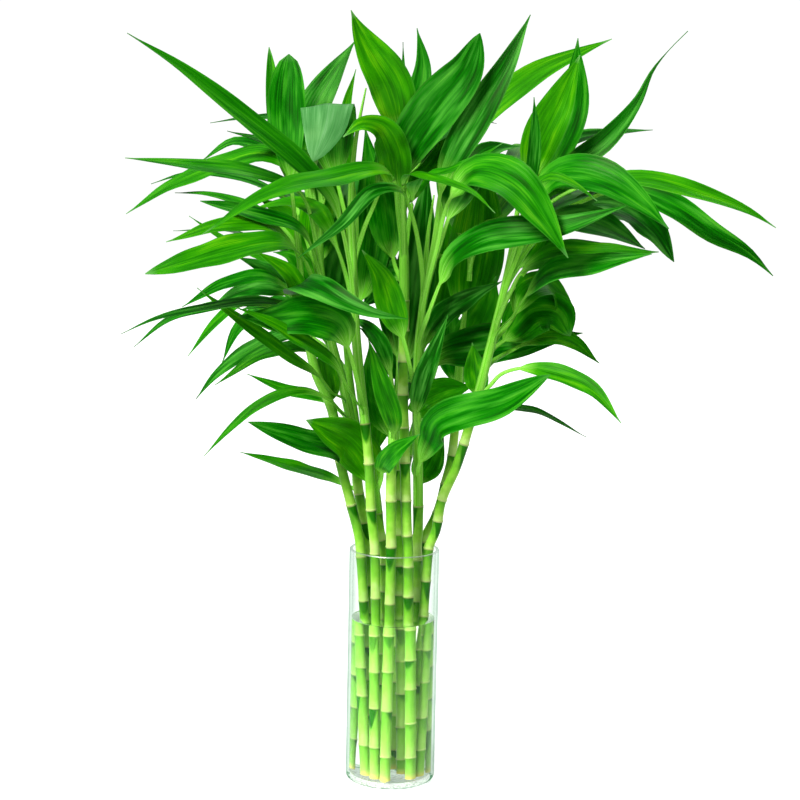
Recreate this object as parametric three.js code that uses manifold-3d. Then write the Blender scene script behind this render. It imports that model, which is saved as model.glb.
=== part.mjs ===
// Lucky bamboo standing in a clear glass cylinder of water.
// Millimetres, +Z up, the front of the plant faces -Y.
// The origin is the centre of the vase's flat underside.
import * as THREE from "three";
import { mergeVertices } from "three/addons/utils/BufferGeometryUtils.js";
import ManifoldModule from "manifold-3d";

// ---- vase and water ----
const VASE_DIAMETER = 82;
const VASE_HEIGHT = 215;
const VASE_WALL = 3;
const VASE_FLOOR = 5;
const FOOT_ROUND = 4; // the outer edge of the underside
const FLOOR_ROUND = 2.5; // the corner inside
const LIP_ROUND = 0.9;
const WATER_LEVEL = 150;
const ROUND_SIDES = 28;
const SEAM = 0.3; // room between the water and what it touches
const FOOT_GAP = 0.2; // room under the foot of a stalk

// ---- stalks ----
const STALK_SIDES = 7;
const RING_SWELL = 1.12; // a ring stands out from the cane by this
const RING_WAIST = 0.97; // a cane is this thin just above a ring
const RING_HALF = 0.9; // half the height of a ring's step
const JOINT_GAP = 0.25; // room between a cane and its leafy shoot
const TOP_RADIUS = 0.7; // the point of the rolled leaf at the top of a shoot
const TOP_TAPER = 2.5; // how late a shoot thins out towards its point
const SHOOT_STEP = 60; // height between the levels of a shoot's stem
const HOLE_ROOM = 0.5; // room between a cane and the water around it
const HOLE_OVERRUN = 3; // a hole runs on past the water by this

// ---- leaves ----
const BLADE_THICKNESS = 0.8;
const STEM_THICKNESS = 2.4;
const STEM_WIDTH = 5;
const STEM_NECK = 3.4; // a leaf's stem just below its blade
const ROOT_DEPTH = 5; // a leaf begins this far down inside its stem
const FOLD = 0.2; // rise of the blade's edges over its middle, per mm
const TIP_WIDTH = 0.9;
const BASE_POWER = 0.75; // how round the blade's base is
const TIP_POWER = 1.2; // how drawn out its tip is, unless the leaf says otherwise
const NECK_LENGTH = 0.45; // share of the blade over which the stem's width fades
const NECK_LEFT = 0.15; // share of it that is still there further out
const THINNING = 0.12; // share of the leaf, past its stem, that is thicker than the blade
const LEAF_CLEARANCE = 0.4;
const SIMPLIFY = 0.28; // edges that move the surface by less than this are dropped
const STATIONS = [0, 0.17, 0.33, 0.48, 0.62, 0.76, 0.89, 1];
const SHORT_STATIONS = [0, 0.2, 0.42, 0.64, 0.85, 1];
const SHORT_LEAF = 190; // leaves shorter than this are given fewer stations
const DEPTH_SPREAD = 1.4; // opens the crown from front to back

// A leaf that would cross another part is bent clear: these are tried in order.
const BENDS_DEPTH = [0, 6, -6, 13, -13, 22, -22, 32, -32, 46, -46, 64, -64, 84, -84];
const BENDS_LIFT = [0, 10, -10, 22, -22];

// ---- the front view ----
// Points of stalks and leaves are given as they are seen from the front:
// [across, down, depth], on a view 800 wide and 800 high, with the depth in mm
// (negative is nearer the front).
const EYE_DISTANCE = 1600;
const EYE_HEIGHT = 550.7;
const EYE_PITCH = 7.104 * Math.PI / 180;
const EYE_ROLL = 1.2 * Math.PI / 180;
const EYE_FOCAL = 1784;
const EYE_SIDE = 2.5; // view units from the vase's axis to the middle of the view

function fromFront([across, down, depth]) {
  const a = across - 400;
  const b = down - 400;
  const right = a * Math.cos(EYE_ROLL) + b * Math.sin(EYE_ROLL);
  const below = -a * Math.sin(EYE_ROLL) + b * Math.cos(EYE_ROLL);
  const k = -below / EYE_FOCAL;
  const sin = Math.sin(EYE_PITCH);
  const cos = Math.cos(EYE_PITCH);
  const away = depth + EYE_DISTANCE;
  const rise = (k * away * cos - away * sin) / (cos + k * sin);
  const along = away * cos - rise * sin;
  const x = right * along / EYE_FOCAL + EYE_SIDE * EYE_DISTANCE * cos / EYE_FOCAL;
  return new THREE.Vector3(x, depth, rise + EYE_HEIGHT);
}

function downInFront(point) {
  const sin = Math.sin(EYE_PITCH);
  const cos = Math.cos(EYE_PITCH);
  const away = point.y + EYE_DISTANCE;
  const rise = point.z - EYE_HEIGHT;
  const along = away * cos - rise * sin;
  const up = away * sin + rise * cos;
  const side = point.x - EYE_SIDE * EYE_DISTANCE * cos / EYE_FOCAL;
  const right = EYE_FOCAL * side / along;
  const below = -EYE_FOCAL * up / along;
  return 400 + right * Math.sin(EYE_ROLL) + below * Math.cos(EYE_ROLL);
}

// ---- the stalks ----
// foot and rim: [x, y] in mm on the vase's floor and at the height of its rim.
// path: front-view points above the rim.
// rings: how far down in the front view the cane's rings are.
// cut: where the ringed cane ends and the leafy shoot begins.
const STALKS = {
  A: {
    foot: [-18, -9], rim: [-31, -3], radius: 4.6, cut: 418,
    path: [
      [351, 504, -6], [341, 465, -8], [332, 410, -10],
      [315, 370, -10], [302, 298, -5], [300, 250, 0], [298, 215, 2],
    ],
    rings: [742, 693, 665, 633, 600, 556, 504, 460],
  },
  B: {
    foot: [-9.5, 6.5], rim: [-25, 8], radius: 4.6, cut: 434,
    path: [
      [364, 522, 9], [359, 493, 10], [352, 428, 10], [343, 385, 8],
      [330, 335, 4], [322, 280, 0], [321, 222, -4], [326, 190, -6],
    ],
    rings: [748, 710, 675, 643, 611, 584, 553, 522, 493, 461],
  },
  C: {
    foot: [-12, -20], rim: [-17.5, -22], radius: 4.5, cut: 423,
    path: [
      [371, 509, -24], [369, 463, -26], [365, 423, -26], [359, 370, -25], [355, 320, -22],
      [353, 262, -16], [351, 200, -14], [355, 145, -14], [366, 88, -12],
    ],
    rings: [745, 706, 670, 634, 597, 553, 509, 463],
  },
  D: {
    foot: [-7.5, -5], rim: [-9.5, -8], radius: 4.3, cut: 512,
    path: [[380, 530, -12], [376, 490, -18], [375, 468, -20]],
    rings: [748, 715, 680, 650, 618, 590, 563, 538],
  },
  E: {
    foot: [-4, -27], rim: [-3, -26], radius: 4.7, cut: 450,
    path: [[391, 530, -27], [391, 480, -29], [393, 440, -32], [394, 405, -34]],
    rings: [755, 709, 670, 634, 603, 546, 500],
  },
  F: {
    foot: [8.5, 3], rim: [4.5, 9], radius: 4.3, cut: 470,
    path: [[399, 535, 12], [399, 499, 16], [398, 455, 24], [396, 425, 30], [395, 400, 34]],
    rings: [754, 722, 689, 657, 625, 594, 565, 535, 499],
  },
  G: {
    foot: [17, -19], rim: [12.5, -18], radius: 4.8, cut: 300,
    path: [
      [407, 535, -18], [405, 462, -17], [403, 394, -13], [404, 320, -9],
      [404, 260, -8], [402, 190, -12], [402, 165, -14],
    ],
    rings: [755, 721, 687, 658, 628, 596, 566, 535, 500, 462, 427, 394, 361, 330],
  },
  H: {
    foot: [30, 1], rim: [20.5, 6], radius: 4.8, cut: 505,
    path: [
      [418, 530, 5], [418, 465, -1], [417, 400, -8], [418, 350, -12],
      [423, 300, -18], [428, 235, -24], [434, 195, -26],
    ],
    rings: [727, 696, 664, 632, 600, 559],
  },
  I: {
    foot: [9.5, 16], rim: [26, 18], radius: 4.3, cut: 410,
    path: [
      [437, 513, 22], [445, 484, 27], [452, 455, 32],
      [457, 400, 38], [462, 335, 46], [468, 290, 52],
    ],
    rings: [745, 712, 680, 645, 610, 575, 541, 513, 484, 455],
  },
  J: {
    foot: [23, -10], rim: [31, -4], radius: 4.5, cut: 422,
    path: [
      [436, 530, -5], [442, 499, -8], [457, 465, -12], [477, 398, -18],
      [492, 340, -20], [505, 285, -20], [514, 235, -18], [520, 190, -16],
    ],
    rings: [747, 715, 680, 648, 615, 580, 548, 520, 499, 443],
  },
  K: {
    foot: [-26, 10], rim: [-17, 25.5], radius: 4.5, cut: 500,
    path: [[358, 490, 32], [357, 440, 40], [351, 390, 50], [346, 345, 60], [341, 290, 68]],
    rings: [735, 704, 672, 640, 605, 570, 535],
  },
  L: {
    foot: [2, 24], rim: [2, 27], radius: 4.5, cut: 455,
    path: [[399, 520, 32], [408, 455, 46], [424, 400, 58], [440, 350, 70], [448, 318, 78]],
    rings: [742, 708, 675, 640, 606, 570, 534, 495],
  },
};

// ---- the leaves ----
// [stalk, how far down its root is, points on its way to the tip, width, facing, stem part, tip]
// facing: 0 shows the upper side to the front, 90 to the sky, and "over" is a leaf that
// bows over to the front, so that its underside shows.
// stem part: the share of the leaf's length that is a narrow stem.
// tip: less than TIP_POWER for a blunt leaf, more for one with a thin tail.
const LEAVES = [
  ["A", 309, [
    [297, 293, -40], [301, 284, -60], [320, 289, -80],
    [346, 303, -92], [376, 314, -100], [408, 319, -104],
  ], 27, 35, 0.1],
  ["G", 285, [
    [398, 215, -16], [388, 172, -44], [330, 179, -68], [270, 193, -90], [203, 234, -105],
  ], 24, 45, 0.35],
  ["G", 190, [
    [399, 160, -20], [399, 120, -28], [391, 86, -34],
    [375, 58, -37], [358, 28, -39], [351, 10, -42],
  ], 38, 10, 0.33],
  ["G", 194, [[410, 145, -26], [437, 106, -38], [467, 69, -42], [480, 33, -44]], 43, 10, 0.12, 0.8],
  ["H", 318, [
    [434, 240, -26], [446, 172, -38], [476, 118, -42], [506, 66, -42], [531, 14, -40],
  ], 28, 15, 0.42],
  ["H", 300, [
    [420, 255, -24], [410, 210, -38], [400, 190, -50],
    [375, 191, -62], [345, 222, -74], [298, 258, -84],
  ], 15, 40, 0.45],
  ["C", 330, [
    [349, 262, -20], [341, 225, -30], [334, 202, -38],
    [300, 163, -52], [240, 113, -66], [180, 66, -74], [127, 33, -80],
  ], 20, 35, 0.3],
  ["J", 300, [
    [524, 240, -30], [540, 192, -50], [562, 174, -64],
    [602, 179, -78], [640, 202, -88], [669, 229, -94],
  ], 38, 38, 0.42],
  ["J", 290, [
    [528, 228, -20], [552, 202, -30], [590, 184, -38], [640, 179, -44],
    [700, 193, -50], [756, 215, -50], [776, 228, -50],
  ], 20, 45, 0.43],
  ["J", 296, [
    [533, 235, 0], [575, 205, 6], [630, 190, 0], [672, 206, -8],
    [716, 235, -14], [752, 256, -18], [773, 276, -20],
  ], 24, 30, 0.48],
  ["H", 350, [
    [431, 308, -36], [441, 282, -50], [452, 260, -62],
    [480, 240, -78], [550, 230, -96], [626, 206, -110],
  ], 33, 40, 0.32],
  ["H", 322, [
    [436, 252, -40], [452, 196, -62], [476, 172, -78],
    [513, 184, -96], [545, 222, -108], [568, 258, -114],
  ], 42, 35, 0.48],
  ["B", 330, [
    [311, 275, -28], [298, 252, -48], [284, 243, -60],
    [230, 250, -78], [185, 263, -88], [145, 274, -92],
  ], 27, 42, 0.42, 0.8],
  ["C", 412, [
    [357, 380, -36], [348, 348, -44], [338, 326, -52],
    [312, 317, -56], [275, 319, -58], [238, 316, -58],
  ], 38, 25, 0.42],
  ["C", 414, [
    [355, 400, -34], [346, 385, -42], [336, 366, -50],
    [300, 340, -60], [262, 318, -66], [235, 307, -68],
  ], 16, 45, 0.36],
  ["D", 492, [[381, 479, -16], [384, 465, -32], [397, 449, -42], [420, 433, -48]], 19, 25, 0.32],
  ["H", 478, [
    [420, 462, -30], [430, 441, -46], [439, 424, -60],
    [464, 414, -72], [506, 401, -86], [550, 375, -104],
  ], 34, 30, 0.22, 0.8],
  ["J", 262, [[528, 195, -26], [537, 150, -34], [560, 100, -36], [580, 55, -36]], 34, 15, 0.42],
  ["J", 280, [[532, 205, 4], [550, 160, 12], [572, 108, 12], [578, 38, 10]], 34, 20, 0.42],
  ["J", 270, [
    [538, 200, -4], [572, 165, -14], [604, 142, -18], [638, 101, -22],
    [653, 70, -22], [670, 49, -22], [688, 31, -22],
  ], 21, 25, 0.36, 2.6],
  ["H", 330, [
    [435, 250, 0], [450, 178, 14], [484, 116, 26], [531, 77, 36], [581, 52, 42], [612, 39, 46],
  ], 26, 30, 0.5],
  ["J", 335, [
    [511, 292, -30], [522, 272, -40], [540, 260, -50], [600, 254, -60], [659, 252, -66],
  ], 27, 42, 0.38],
  ["J", 345, [
    [516, 312, -44], [530, 291, -60], [545, 276, -72], [598, 264, -88], [652, 254, -98],
  ], 27, 42, 0.4],
  ["J", 404, [
    [491, 385, -30], [502, 374, -38], [517, 369, -44],
    [552, 372, -56], [593, 390, -68], [621, 423, -80],
  ], 18, 38, 0.4],
  ["H", 400, [
    [428, 374, 2], [438, 358, 8], [480, 347, 14], [530, 339, 20], [583, 333, 24],
  ], 40, 28, 0.2],
  ["H", 442, [[416, 410, -24], [424, 376, -34], [436, 346, -40], [448, 315, -44]], 18, 15, 0.3],
  ["H", 405, [
    [411, 372, -30], [402, 335, -36], [394, 315, -40], [380, 275, -40], [362, 250, -40],
  ], 26, 20, 0.5],
  ["D", 494, [
    [374, 482, -8], [366, 463, -9], [351, 444, -14], [327, 430, -26], [306, 420, -32],
  ], 40, 20, 0.12, 1],
  ["D", 498, [
    [370, 484, -4], [356, 467, -8], [340, 453, -14], [300, 440, -34], [248, 422, -48],
  ], 26, 35, 0.2, 0.9],
  ["E", 442, [[393, 420, -40], [385, 395, -46], [368, 338, -50]], 19, 20, 0.15],
  ["E", 444, [
    [394, 405, -38], [389, 368, -30], [377, 337, -14], [362, 323, -2], [341, 320, 10],
  ], 15, 60, 0.45],
  ["A", 300, [[297, 240, -8], [291, 180, -12], [287, 120, -6], [289, 54, 0]], 34, 10, 0.5, 0.55],
  ["B", 300, [[313, 225, 16], [304, 165, 24], [312, 112, 26], [333, 75, 30], [355, 41, 34]], 32, 30, 0.5],
  ["C", 300, [
    [347, 225, 0], [334, 165, 2], [329, 113, -14], [327, 103, -26], [323, 128, -38], [313, 162, -43],
  ], 48, "over", 0.45, 0.75],
  ["C", 310, [
    [350, 225, 8], [342, 145, 26], [305, 122, 36], [250, 118, 32], [210, 123, 28],
  ], 17, 60, 0.5],
  ["G", 270, [
    [403, 212, -24], [404, 180, -42], [440, 181, -82], [475, 194, -100], [495, 213, -108],
  ], 13, 55, 0.4],
  ["G", 275, [
    [412, 205, -16], [418, 180, -40], [445, 172, -56], [475, 160, -64], [503, 143, -66],
  ], 18, 60, 0.4],
  ["G", 215, [[404, 120, 12], [403, 42, 18]], 9, 20, 0.2],
  ["G", 225, [[404, 150, 24], [416, 105, 36], [423, 66, 40], [417, 28, 44]], 26, 20, 0.3],
  ["G", 235, [[418, 170, 18], [438, 146, 30], [448, 122, 38]], 32, 30, 0.25],
  ["G", 225, [
    [396, 178, -24], [391, 150, -34], [378, 128, -42], [361, 125, -48], [343, 137, -50],
  ], 32, 25, 0.28],
  ["C", 268, [[363, 232, -8], [378, 195, 0], [392, 140, 8], [404, 66, 12]], 24, 20, 0.4],
  ["C", 290, [[356, 210, 14], [348, 150, 22], [346, 110, 26], [356, 69, 28]], 13, 20, 0.5],
  ["C", 338, [
    [347, 280, -14], [336, 246, -20], [322, 218, -22],
    [308, 206, -6], [280, 203, 10], [248, 211, 16],
  ], 20, 50, 0.42],
  ["J", 275, [[524, 210, -40], [533, 165, -50], [535, 130, -54], [534, 97, -56]], 12, 30, 0.5],
  ["J", 282, [
    [527, 215, 10], [545, 160, 24], [575, 139, 34], [610, 133, 38], [653, 130, 38],
  ], 17, 52, 0.5],
  ["J", 292, [
    [545, 232, 12], [580, 208, 26], [614, 206, 36], [653, 230, 40], [674, 262, 42],
  ], 37, 42, 0.45, 0.9],
  ["J", 298, [
    [530, 247, -28], [550, 222, -40], [577, 219, -48], [613, 231, -54], [645, 249, -60],
  ], 34, 42, 0.48],
  ["J", 320, [[518, 282, 18], [535, 262, 30], [567, 250, 42], [633, 249, 50]], 22, 50, 0.4],
  ["J", 350, [
    [513, 318, 2], [528, 291, 10], [546, 286, 18], [561, 303, 24], [569, 338, 26],
  ], 35, 50, 0.33],
  ["J", 358, [[514, 332, 16], [534, 312, 26], [553, 312, 32], [568, 334, 34]], 46, 30, 0.3, 0.8],
  ["J", 372, [[512, 350, 10], [540, 338, 18], [565, 338, 24], [598, 362, 22]], 19, 40, 0.42],
  ["J", 285, [
    [524, 220, -50], [532, 190, -74], [550, 177, -84], [578, 187, -90], [597, 201, -92],
  ], 13, 50, 0.5],
  ["H", 325, [[440, 245, -8], [466, 180, 6], [490, 151, 12], [520, 146, 18]], 34, 45, 0.5],
  ["H", 412, [[421, 405, -18], [440, 395, -18], [474, 389, -14]], 33, 35, 0.05],
  ["H", 375, [[428, 338, -4], [445, 314, 2], [470, 298, 6], [503, 281, 8]], 25, 50, 0.25],
  ["I", 350, [[467, 305, 50], [476, 250, 58], [480, 200, 60], [483, 150, 62]], 54, 10, 0.2],
  ["F", 425, [[398, 360, 48], [394, 300, 60], [380, 255, 64], [362, 218, 66]], 36, 20, 0.35],
  ["B", 285, [[314, 220, 24], [296, 165, 42], [262, 125, 56], [222, 92, 66]], 14, 50, 0.5],
  ["B", 297, [[303, 228, 36], [280, 150, 57], [269, 47, 74]], 15, 25, 0.5, 0.8],
  ["B", 310, [
    [316, 240, -12], [300, 193, -22], [250, 173, -34], [200, 166, -40], [126, 158, -46],
  ], 20, 55, 0.4],
  ["B", 300, [
    [316, 225, 14], [300, 174, 26], [262, 155, 34], [215, 168, 36], [171, 186, 36], [126, 214, 36],
  ], 27, 48, 0.4],
  ["B", 290, [
    [314, 212, 40], [297, 168, 64], [262, 148, 74], [235, 142, 78], [200, 162, 80],
  ], 18, 50, 0.55],
  ["B", 280, [[316, 205, 28], [302, 168, 40], [270, 144, 30], [227, 131, 18]], 14, 45, 0.45],
  ["B", 314, [
    [310, 247, 31], [295, 207, 58], [240, 178, 76], [180, 175, 84], [151, 184, 86],
  ], 10, 55, 0.5],
  ["B", 318, [
    [316, 262, -10], [302, 231, -22], [262, 216, -30], [226, 207, -34], [200, 201, -36],
  ], 19, 50, 0.42, 0.9],
  ["A", 300, [[296, 252, -14], [270, 227, -30], [235, 224, -38], [166, 242, -46]], 20, 48, 0.36],
  ["A", 296, [[292, 240, 6], [252, 208, 20], [205, 194, 26], [173, 193, 28]], 11, 55, 0.4],
  ["A", 310, [[292, 272, 12], [262, 258, 30], [222, 238, 36], [189, 216, 42]], 9, 50, 0.35],
  ["A", 330, [
    [296, 299, -16], [284, 286, -26], [264, 277, -36], [225, 284, -44], [182, 307, -54],
  ], 16, 48, 0.33],
  ["A", 340, [
    [294, 308, -42], [262, 301, -56], [206, 308, -70], [152, 320, -76], [121, 334, -78],
  ], 13, 55, 0.25],
  ["A", 350, [
    [296, 320, 4], [258, 304, 18], [220, 306, 22], [165, 322, 26], [134, 347, 28],
  ], 14, 55, 0.3],
  ["A", 320, [[290, 294, 6], [268, 288, 10], [240, 292, 12], [214, 304, 12]], 23, 45, 0.3],
  ["A", 345, [[306, 311, -27], [290, 275, -32], [255, 251, -36]], 18, 40, 0.4],
  ["A", 360, [[288, 325, 30], [243, 303, 48], [218, 320, 56], [188, 356, 62]], 13, 45, 0.4],
  ["B", 402, [
    [331, 392, -14], [318, 376, -26], [290, 357, -40], [240, 320, -54], [197, 288, -62],
  ], 14, 42, 0.3],
  ["B", 360, [[308, 322, 20], [276, 304, 30], [240, 310, 34]], 23, 60, 0.35],
  ["B", 330, [[308, 278, 24], [290, 256, 30], [273, 252, 32]], 20, 40, 0.4],
  ["B", 424, [
    [340, 411, -8], [328, 399, -20], [305, 391, -24], [287, 393, -26],
    [259, 405, -28], [233, 426, -28], [204, 456, -28],
  ], 11, 42, 0.3],
  ["K", 490, [[341, 483, 26], [300, 469, 16], [240, 452, 6]], 16, 55, 0.12],
  ["K", 440, [[325, 400, 46], [290, 391, 48], [247, 374, 48]], 13, 42, 0.35],
  ["K", 425, [[332, 372, 46], [312, 350, 54], [270, 352, 60], [215, 385, 64]], 15, 42, 0.4],
  ["K", 410, [
    [322, 352, 62], [292, 335, 76], [250, 350, 84], [214, 377, 88], [196, 399, 90],
  ], 18, 42, 0.38],
  ["K", 390, [[300, 330, 88], [262, 312, 98], [239, 327, 104], [222, 363, 106]], 18, 38, 0.42],
  ["F", 440, [[388, 412, 38], [379, 420, 42], [375, 454, 44]], 36, 25, 0.3],
  ["F", 450, [[386, 430, 20], [374, 392, 24], [369, 345, 28]], 26, 20, 0.2],
  ["L", 420, [[436, 410, 52], [480, 408, 56], [532, 410, 58], [586, 437, 58]], 9, 50, 0.35],
  ["L", 350, [[440, 315, 80], [446, 270, 82], [450, 215, 84]], 42, 10, 0.15],
  ["F", 415, [[404, 370, 48], [412, 300, 52], [421, 235, 54], [428, 168, 56]], 40, 8, 0.25],
  ["B", 330, [[332, 300, 26], [339, 258, 32], [345, 195, 36]], 38, 10, 0.15],
  ["C", 330, [[364, 285, 14], [372, 235, 24], [373, 185, 28], [365, 126, 30]], 38, 10, 0.2],
  ["B", 290, [[318, 250, 30], [322, 205, 44], [332, 176, 50], [348, 152, 52]], 38, 20, 0.25],
  ["G", 290, [[394, 262, 14], [387, 215, 28], [382, 182, 36], [376, 150, 40]], 36, 15, 0.3],
  ["L", 400, [[404, 372, 66], [384, 345, 66], [360, 328, 64]], 34, 40, 0.3],
  ["G", 290, [[394, 276, 8], [382, 287, 18], [362, 308, 22]], 34, 25, 0.2],
  ["J", 300, [[530, 250, 24], [546, 218, 40], [560, 195, 48], [582, 180, 52]], 34, 30, 0.3],
  ["A", 325, [[300, 298, 32], [286, 281, 42], [262, 267, 48], [237, 257, 52]], 24, 40, 0.3],
  ["I", 400, [[458, 368, 48], [452, 340, 56], [450, 300, 60]], 34, 15, 0.2],
  ["I", 380, [[467, 345, 40], [482, 320, 42], [496, 276, 44]], 36, 20, 0.2],
  ["B", 316, [[312, 268, 31], [299, 234, 46], [281, 212, 52], [258, 198, 56]], 34, 40, 0.3],
  ["H", 486, [[422, 476, 8], [430, 460, 14], [444, 434, 18]], 28, 12, 0.12],
  ["J", 396, [[477, 386, -2], [475, 368, 4], [472, 342, 10]], 22, 12, 0.1],
  ["A", 402, [[330, 392, 5], [326, 370, 8], [321, 342, 10]], 21, 12, 0.1],
];

// Leaves of the back and the sides: [stalk, height of the root, length, compass
// in degrees (90 is straight back), first rise in degrees, droop in mm, width]
const BACK_LEAVES = [
  ["L", 470, 210, 88, 60, 60, 44],
  ["L", 455, 200, 40, 42, 70, 38],
  ["L", 450, 190, 130, 40, 60, 38],
  ["L", 478, 190, 68, 70, 40, 38],
  ["L", 440, 170, 100, 24, 50, 26],
  ["K", 455, 200, 120, 50, 70, 42],
  ["K", 440, 180, 165, 40, 60, 26],
  ["K", 450, 190, 85, 60, 50, 40],
  ["I", 470, 200, 46, 58, 60, 44],
  ["I", 455, 190, 20, 45, 70, 28],
  ["I", 462, 180, 100, 58, 40, 38],
  ["J", 490, 190, 50, 36, 70, 40],
  ["J", 510, 180, 80, 48, 60, 40],
  ["B", 515, 190, 105, 52, 80, 42],
  ["B", 536, 170, 122, 46, 60, 36],
  ["G", 525, 180, 75, 58, 60, 42],
  ["G", 548, 150, 50, 50, 60, 36],
  ["F", 318, 170, 80, 40, 50, 28],
];

// ---- curves ----
function smoothRun(points, startTangent) {
  const gaps = [];
  for (let i = 1; i < points.length; i += 1) {
    gaps.push(points[i].distanceTo(points[i - 1]));
  }
  const slopes = points.map((point, i) => {
    if (i === 0) {
      return startTangent.clone().normalize();
    }
    if (i === points.length - 1) {
      return point.clone().sub(points[i - 1]).normalize();
    }
    const before = point.clone().sub(points[i - 1]).divideScalar(gaps[i - 1]);
    const after = points[i + 1].clone().sub(point).divideScalar(gaps[i]);
    const share = gaps[i] / (gaps[i] + gaps[i - 1]);
    return before.multiplyScalar(share).add(after.multiplyScalar(1 - share));
  });
  const whole = gaps.reduce((sum, gap) => sum + gap, 0);
  return (share) => {
    let rest = share * whole;
    let i = 0;
    while (i < gaps.length - 1 && rest > gaps[i]) {
      rest -= gaps[i];
      i += 1;
    }
    const t = Math.min(rest / gaps[i], 1);
    const a = 2 * t ** 3 - 3 * t ** 2 + 1;
    const b = (t ** 3 - 2 * t ** 2 + t) * gaps[i];
    const c = 3 * t ** 2 - 2 * t ** 3;
    const d = (t ** 3 - t ** 2) * gaps[i];
    return points[i].clone().multiplyScalar(a)
      .addScaledVector(slopes[i], b)
      .addScaledVector(points[i + 1], c)
      .addScaledVector(slopes[i + 1], d);
  };
}

function makeStalk(spec) {
  const points = [
    new THREE.Vector3(spec.foot[0], spec.foot[1], VASE_FLOOR),
    new THREE.Vector3(spec.rim[0], spec.rim[1], VASE_HEIGHT),
    ...spec.path.map(fromFront),
  ];
  const slopes = points.map((point, i) => {
    const from = points[Math.max(i - 1, 0)];
    const to = points[Math.min(i + 1, points.length - 1)];
    return to.clone().sub(from).divideScalar(to.z - from.z);
  });
  const at = (z) => {
    let i = 0;
    while (i < points.length - 2 && z > points[i + 1].z) {
      i += 1;
    }
    const gap = points[i + 1].z - points[i].z;
    const t = (z - points[i].z) / gap;
    const out = points[i].clone().multiplyScalar(2 * t ** 3 - 3 * t ** 2 + 1)
      .addScaledVector(slopes[i], (t ** 3 - 2 * t ** 2 + t) * gap)
      .addScaledVector(points[i + 1], 3 * t ** 2 - 2 * t ** 3)
      .addScaledVector(slopes[i + 1], (t ** 3 - t ** 2) * gap);
    out.z = z;
    return out;
  };
  const along = (z) => at(z + 1).sub(at(z - 1)).normalize();
  const heightOf = (down) => {
    let low = VASE_FLOOR;
    let high = points[points.length - 1].z;
    for (let step = 0; step < 40; step += 1) {
      const middle = (low + high) / 2;
      if (downInFront(at(middle)) > down) {
        low = middle;
      } else {
        high = middle;
      }
    }
    return (low + high) / 2;
  };
  const top = points[points.length - 1].z;
  return { spec, at, along, heightOf, top, cut: heightOf(spec.cut) };
}

// ---- solids ----
let Manifold;
let SolidMesh;

function asSolid(verts, tris) {
  return new Manifold(new SolidMesh({
    numProp: 3,
    vertProperties: new Float32Array(verts),
    triVerts: new Uint32Array(tris),
  }));
}

function closedTube(rings) {
  // rings: arrays of points, all of one length, from bottom to top
  const sides = rings[0].length;
  const verts = [];
  const tris = [];
  for (const ring of rings) {
    for (const point of ring) {
      verts.push(point.x, point.y, point.z);
    }
  }
  for (let i = 0; i < rings.length - 1; i += 1) {
    for (let j = 0; j < sides; j += 1) {
      const k = (j + 1) % sides;
      const a = i * sides + j;
      const b = i * sides + k;
      const c = (i + 1) * sides + k;
      const d = (i + 1) * sides + j;
      tris.push(a, b, c, a, c, d);
    }
  }
  const last = (rings.length - 1) * sides;
  for (let j = 1; j < sides - 1; j += 1) {
    tris.push(0, j + 1, j);
    tris.push(last, last + j, last + j + 1);
  }
  return asSolid(verts, tris);
}

function ringAround(centre, direction, radius) {
  const u = new THREE.Vector3(1, 0, 0);
  u.addScaledVector(direction, -u.dot(direction)).normalize();
  const v = direction.clone().cross(u);
  const ring = [];
  for (let j = 0; j < STALK_SIDES; j += 1) {
    const angle = 2 * Math.PI * j / STALK_SIDES;
    ring.push(centre.clone()
      .addScaledVector(u, radius * Math.cos(angle))
      .addScaledVector(v, radius * Math.sin(angle)));
  }
  return ring;
}

const UP = new THREE.Vector3(0, 0, 1);

function caneSolid(stalk) {
  const { radius, rings } = stalk.spec;
  const foot = VASE_FLOOR + FOOT_GAP;
  const levels = [ringAround(stalk.at(foot), UP, radius)];
  for (const down of rings) {
    const z = stalk.heightOf(down);
    const direction = stalk.along(z);
    levels.push(ringAround(stalk.at(z - RING_HALF), direction, radius * RING_SWELL));
    levels.push(ringAround(stalk.at(z + RING_HALF), direction, radius * RING_WAIST));
  }
  levels.push(ringAround(stalk.at(stalk.cut), stalk.along(stalk.cut), radius * RING_SWELL));
  return closedTube(levels);
}

function shootStemSolid(stalk) {
  const { radius } = stalk.spec;
  const direction = stalk.along(stalk.cut);
  const start = stalk.at(stalk.cut).addScaledVector(direction, JOINT_GAP);
  const levels = [ringAround(start, direction, radius)];
  const length = stalk.top - stalk.cut;
  const steps = Math.max(1, Math.round(length / SHOOT_STEP));
  for (let i = 1; i <= steps; i += 1) {
    const share = i / steps;
    const z = stalk.cut + length * share;
    const size = radius + (TOP_RADIUS - radius) * share ** TOP_TAPER;
    levels.push(ringAround(stalk.at(z), stalk.along(z), size));
  }
  return closedTube(levels);
}

function holeSolid(stalk) {
  const radius = stalk.spec.radius * RING_SWELL + HOLE_ROOM;
  const levels = [ringAround(stalk.at(VASE_FLOOR - HOLE_OVERRUN), UP, radius)];
  for (const share of [0.33, 0.67]) {
    levels.push(ringAround(stalk.at(WATER_LEVEL * share), UP, radius));
  }
  levels.push(ringAround(stalk.at(WATER_LEVEL + HOLE_OVERRUN), UP, radius));
  return closedTube(levels);
}

function bladeShape(g, tip) {
  return g ** BASE_POWER * (1 - g) ** tip;
}

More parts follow.
